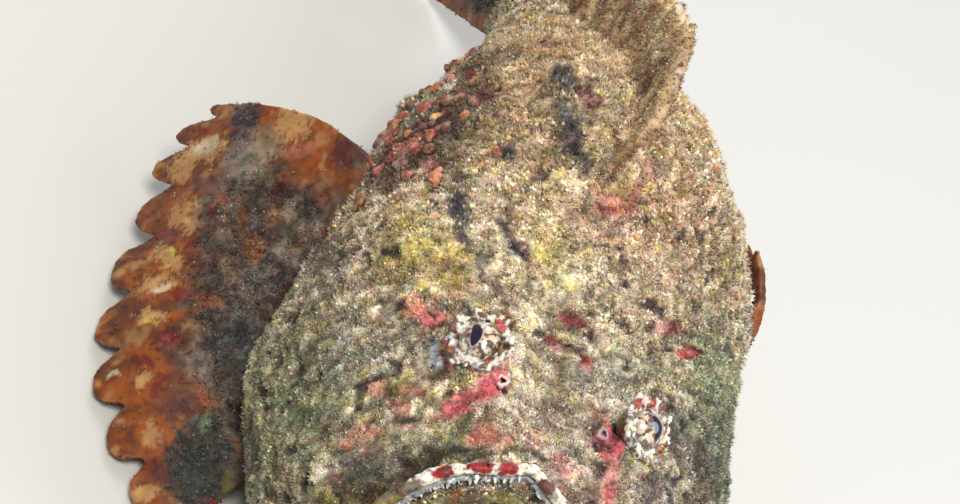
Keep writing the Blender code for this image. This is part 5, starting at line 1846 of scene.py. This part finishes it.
class STONEFISH_OT_coat(bpy.types.Operator):
    """Cover the skin and the fins with fine algal turf"""

    bl_idname = "stonefish.coat"
    bl_label = "Turf coat"

    def execute(self, context):
        draw = np.random.default_rng(SEED + 1)
        material = marked_material("algal turf")
        place, normal, corner = scattered(MADE["skin"], sizes().tufts, draw, self.skin_shares)
        # Painted light and shade: tufts on warts lighter, tufts in hollows darker
        painted_shading = 0.94 + 0.5 * MADE["raised"][corner]
        tint = speckled(MADE["markings"].at(place) * painted_shading[:, None], draw)
        clumps = np.clip(1 + 1.1 * cloud(place, 4.5 * MM, 241, 2), 0.5, 1.5)
        length = sizes().tuft_length * growth(place) * clumps
        make_coat("turf", place, normal, length, tint, draw, material, "skin")
        self.clothe_fins(draw, material)
        return {"FINISHED"}

    @staticmethod
    def skin_shares(middle, facing, triangles):
        """How thickly the turf grows on each of the skin's triangles."""
        under = smoothstep(-0.85, -0.1, facing[:, 2]) * smoothstep(0.3 * MM, 6 * MM, middle[:, 2]) + 0.04
        patchy = 0.75 + 0.5 * cloud(middle, 6 * MM, 83, 2)
        towards = 1 + 0.5 * smoothstep(0.0, 0.5, facing @ TOWARDS)
        off = nearest(middle, np.concatenate(MADE["lips"]))[1]
        lips = 0.03 + 0.97 * smoothstep(1.3 * MM, 2.2 * MM, off)
        share = under * np.clip(patchy, 0.25, None) * towards * lips * (1 - 0.6 * pits_of(middle))
        share *= (1 - 0.75 * MADE["markings"].crust(middle)) / growth(middle) ** 1.5
        for centre, radius in MADE["bare"]:
            away = np.linalg.norm(middle - centre, axis=1)
            share *= 0.03 + 0.97 * smoothstep(radius, radius + 2 * MM, away)
        return share

    @staticmethod
    def clothe_fins(draw, material):
        """Covers the fins: all over the back's ones, and the inner and greyer parts of the others."""
        places, normals, tints = [], [], []
        fins = MADE["fins"]
        areas = [len(fin.data.polygons) * (4 if name in BACK_FINS else 1) for fin, name, _ in fins]
        for (fin, name, out), area in zip(fins, areas):
            edge, thinnest = (1.3, 0.4) if name in BACK_FINS else (0.55, 0.05)
            shown = marks_of(fin)
            warm = shown[:, 0] - shown[:, 2]

            def weigh(middle, facing, triangles, out=out, warm=warm, edge=edge, thinnest=thinnest):
                """How thickly the turf grows on each of the fin's triangles."""
                inner = smoothstep(edge + 0.1, edge - 0.25, out[triangles].mean(1)) + 0.04
                inner = np.maximum(inner, 0.7 * smoothstep(0.06, 0.02, warm[triangles].mean(1)))
                patchy = np.clip(0.6 + cloud(middle, 5 * MM, 89, 2), thinnest, None)
                return inner * patchy * (middle[:, 2] > 0.6 * MM)

            count = int(sizes().fin_tufts * area / sum(areas))
            place, normal, corner = scattered(fin, count, draw, weigh)
            places.append(place)
            normals.append(normal)
            tints.append(shown[corner])
        place, normal = np.concatenate(places), np.concatenate(normals)
        tint = speckled(np.concatenate(tints), draw)
        length = np.full(len(place), FIN_TUFT_LENGTH)
        make_coat("fin_turf", place, normal, length, tint, draw, material, "fin")


class STONEFISH_OT_stage(bpy.types.Operator):
    """Set the floor, the lights and the camera"""

    bl_idname = "stonefish.stage"
    bl_label = "Floor, lights and camera"

    def execute(self, context):
        deselect()
        bpy.ops.mesh.primitive_plane_add(size=FLOOR_WIDTH, location=(0, 0, 0))
        floor = bpy.context.object
        floor.name = "floor"
        material, _, _, principled = shader("pale floor", 0.8)
        principled.inputs["Base Color"].default_value = FLOOR_TINT
        floor.data.materials.append(material)
        for name, (place, width, power, tint) in LAMPS.items():
            self.lamp(name, place, width, power, tint)
        world = bpy.data.worlds.new("soft room")
        world.use_nodes = True
        world.node_tree.nodes["Background"].inputs["Color"].default_value = ROOM_TINT
        world.node_tree.nodes["Background"].inputs["Strength"].default_value = ROOM_STRENGTH
        context.scene.world = world
        context.scene.view_settings.view_transform = "Standard"
        data = bpy.data.cameras.new("camera")
        data.sensor_width = SENSOR
        data.lens = SENSOR * CAMERA_AWAY / PICTURE_SPAN
        data.clip_start = 10 * MM
        camera = bpy.data.objects.new("camera", data)
        turn = np.stack([RIGHT, UPWARD, TOWARDS], -1)
        camera.matrix_world = Matrix.Translation(CAMERA_PLACE) @ Matrix(turn.tolist()).to_4x4()
        context.scene.collection.objects.link(camera)
        context.scene.camera = camera
        return {"FINISHED"}

    @staticmethod
    def lamp(name, place, width, power, tint):
        """A round lamp that is turned towards the fish."""
        data = bpy.data.lights.new(name, "AREA")
        data.shape = "DISK"
        data.size = width
        data.energy = power
        data.color = tint
        lamp = bpy.data.objects.new(name, data)
        lamp.location = place
        lamp.rotation_euler = (Vector(LAMPS_AIM) - lamp.location).to_track_quat("-Z", "Y").to_euler()
        bpy.context.scene.collection.objects.link(lamp)


OPERATORS = (
    STONEFISH_OT_skin,
    STONEFISH_OT_fins,
    STONEFISH_OT_eyes,
    STONEFISH_OT_lids,
    STONEFISH_OT_lips,
    STONEFISH_OT_nodules,
    STONEFISH_OT_coat,
    STONEFISH_OT_stage,
)


class STONEFISH_PT_panel(bpy.types.Panel):
    """The stonefish's pieces, in the order in which they are made."""

    bl_idname = "STONEFISH_PT_panel"
    bl_label = "Reef stonefish"
    bl_space_type = "VIEW_3D"
    bl_region_type = "UI"
    bl_category = "Stonefish"

    def draw(self, context):
        for operator in OPERATORS:
            self.layout.operator(operator.bl_idname)
        for group in (context.scene.stonefish_sizes, context.scene.stonefish_colours):
            box = self.layout.box()
            for name in group.__annotations__:
                box.prop(group, name)


CLASSES = (StonefishSizes, StonefishColours, *OPERATORS, STONEFISH_PT_panel)


def register():
    """Registers the classes and gives the scene the values that a user can change."""
    for one in CLASSES:
        bpy.utils.register_class(one)
    bpy.types.Scene.stonefish_sizes = PointerProperty(type=StonefishSizes)
    bpy.types.Scene.stonefish_colours = PointerProperty(type=StonefishColours)


def unregister():
    """Takes away what register adds."""
    del bpy.types.Scene.stonefish_sizes
    del bpy.types.Scene.stonefish_colours
    for one in reversed(CLASSES):
        bpy.utils.unregister_class(one)


def main():
    """Builds the whole fish and its stage."""
    register()
    bpy.ops.stonefish.skin()
    bpy.ops.stonefish.fins()
    bpy.ops.stonefish.eyes()
    bpy.ops.stonefish.lids()
    bpy.ops.stonefish.lips()
    bpy.ops.stonefish.nodules()
    bpy.ops.stonefish.coat()
    bpy.ops.stonefish.stage()


if __name__ == "__main__":
    main()
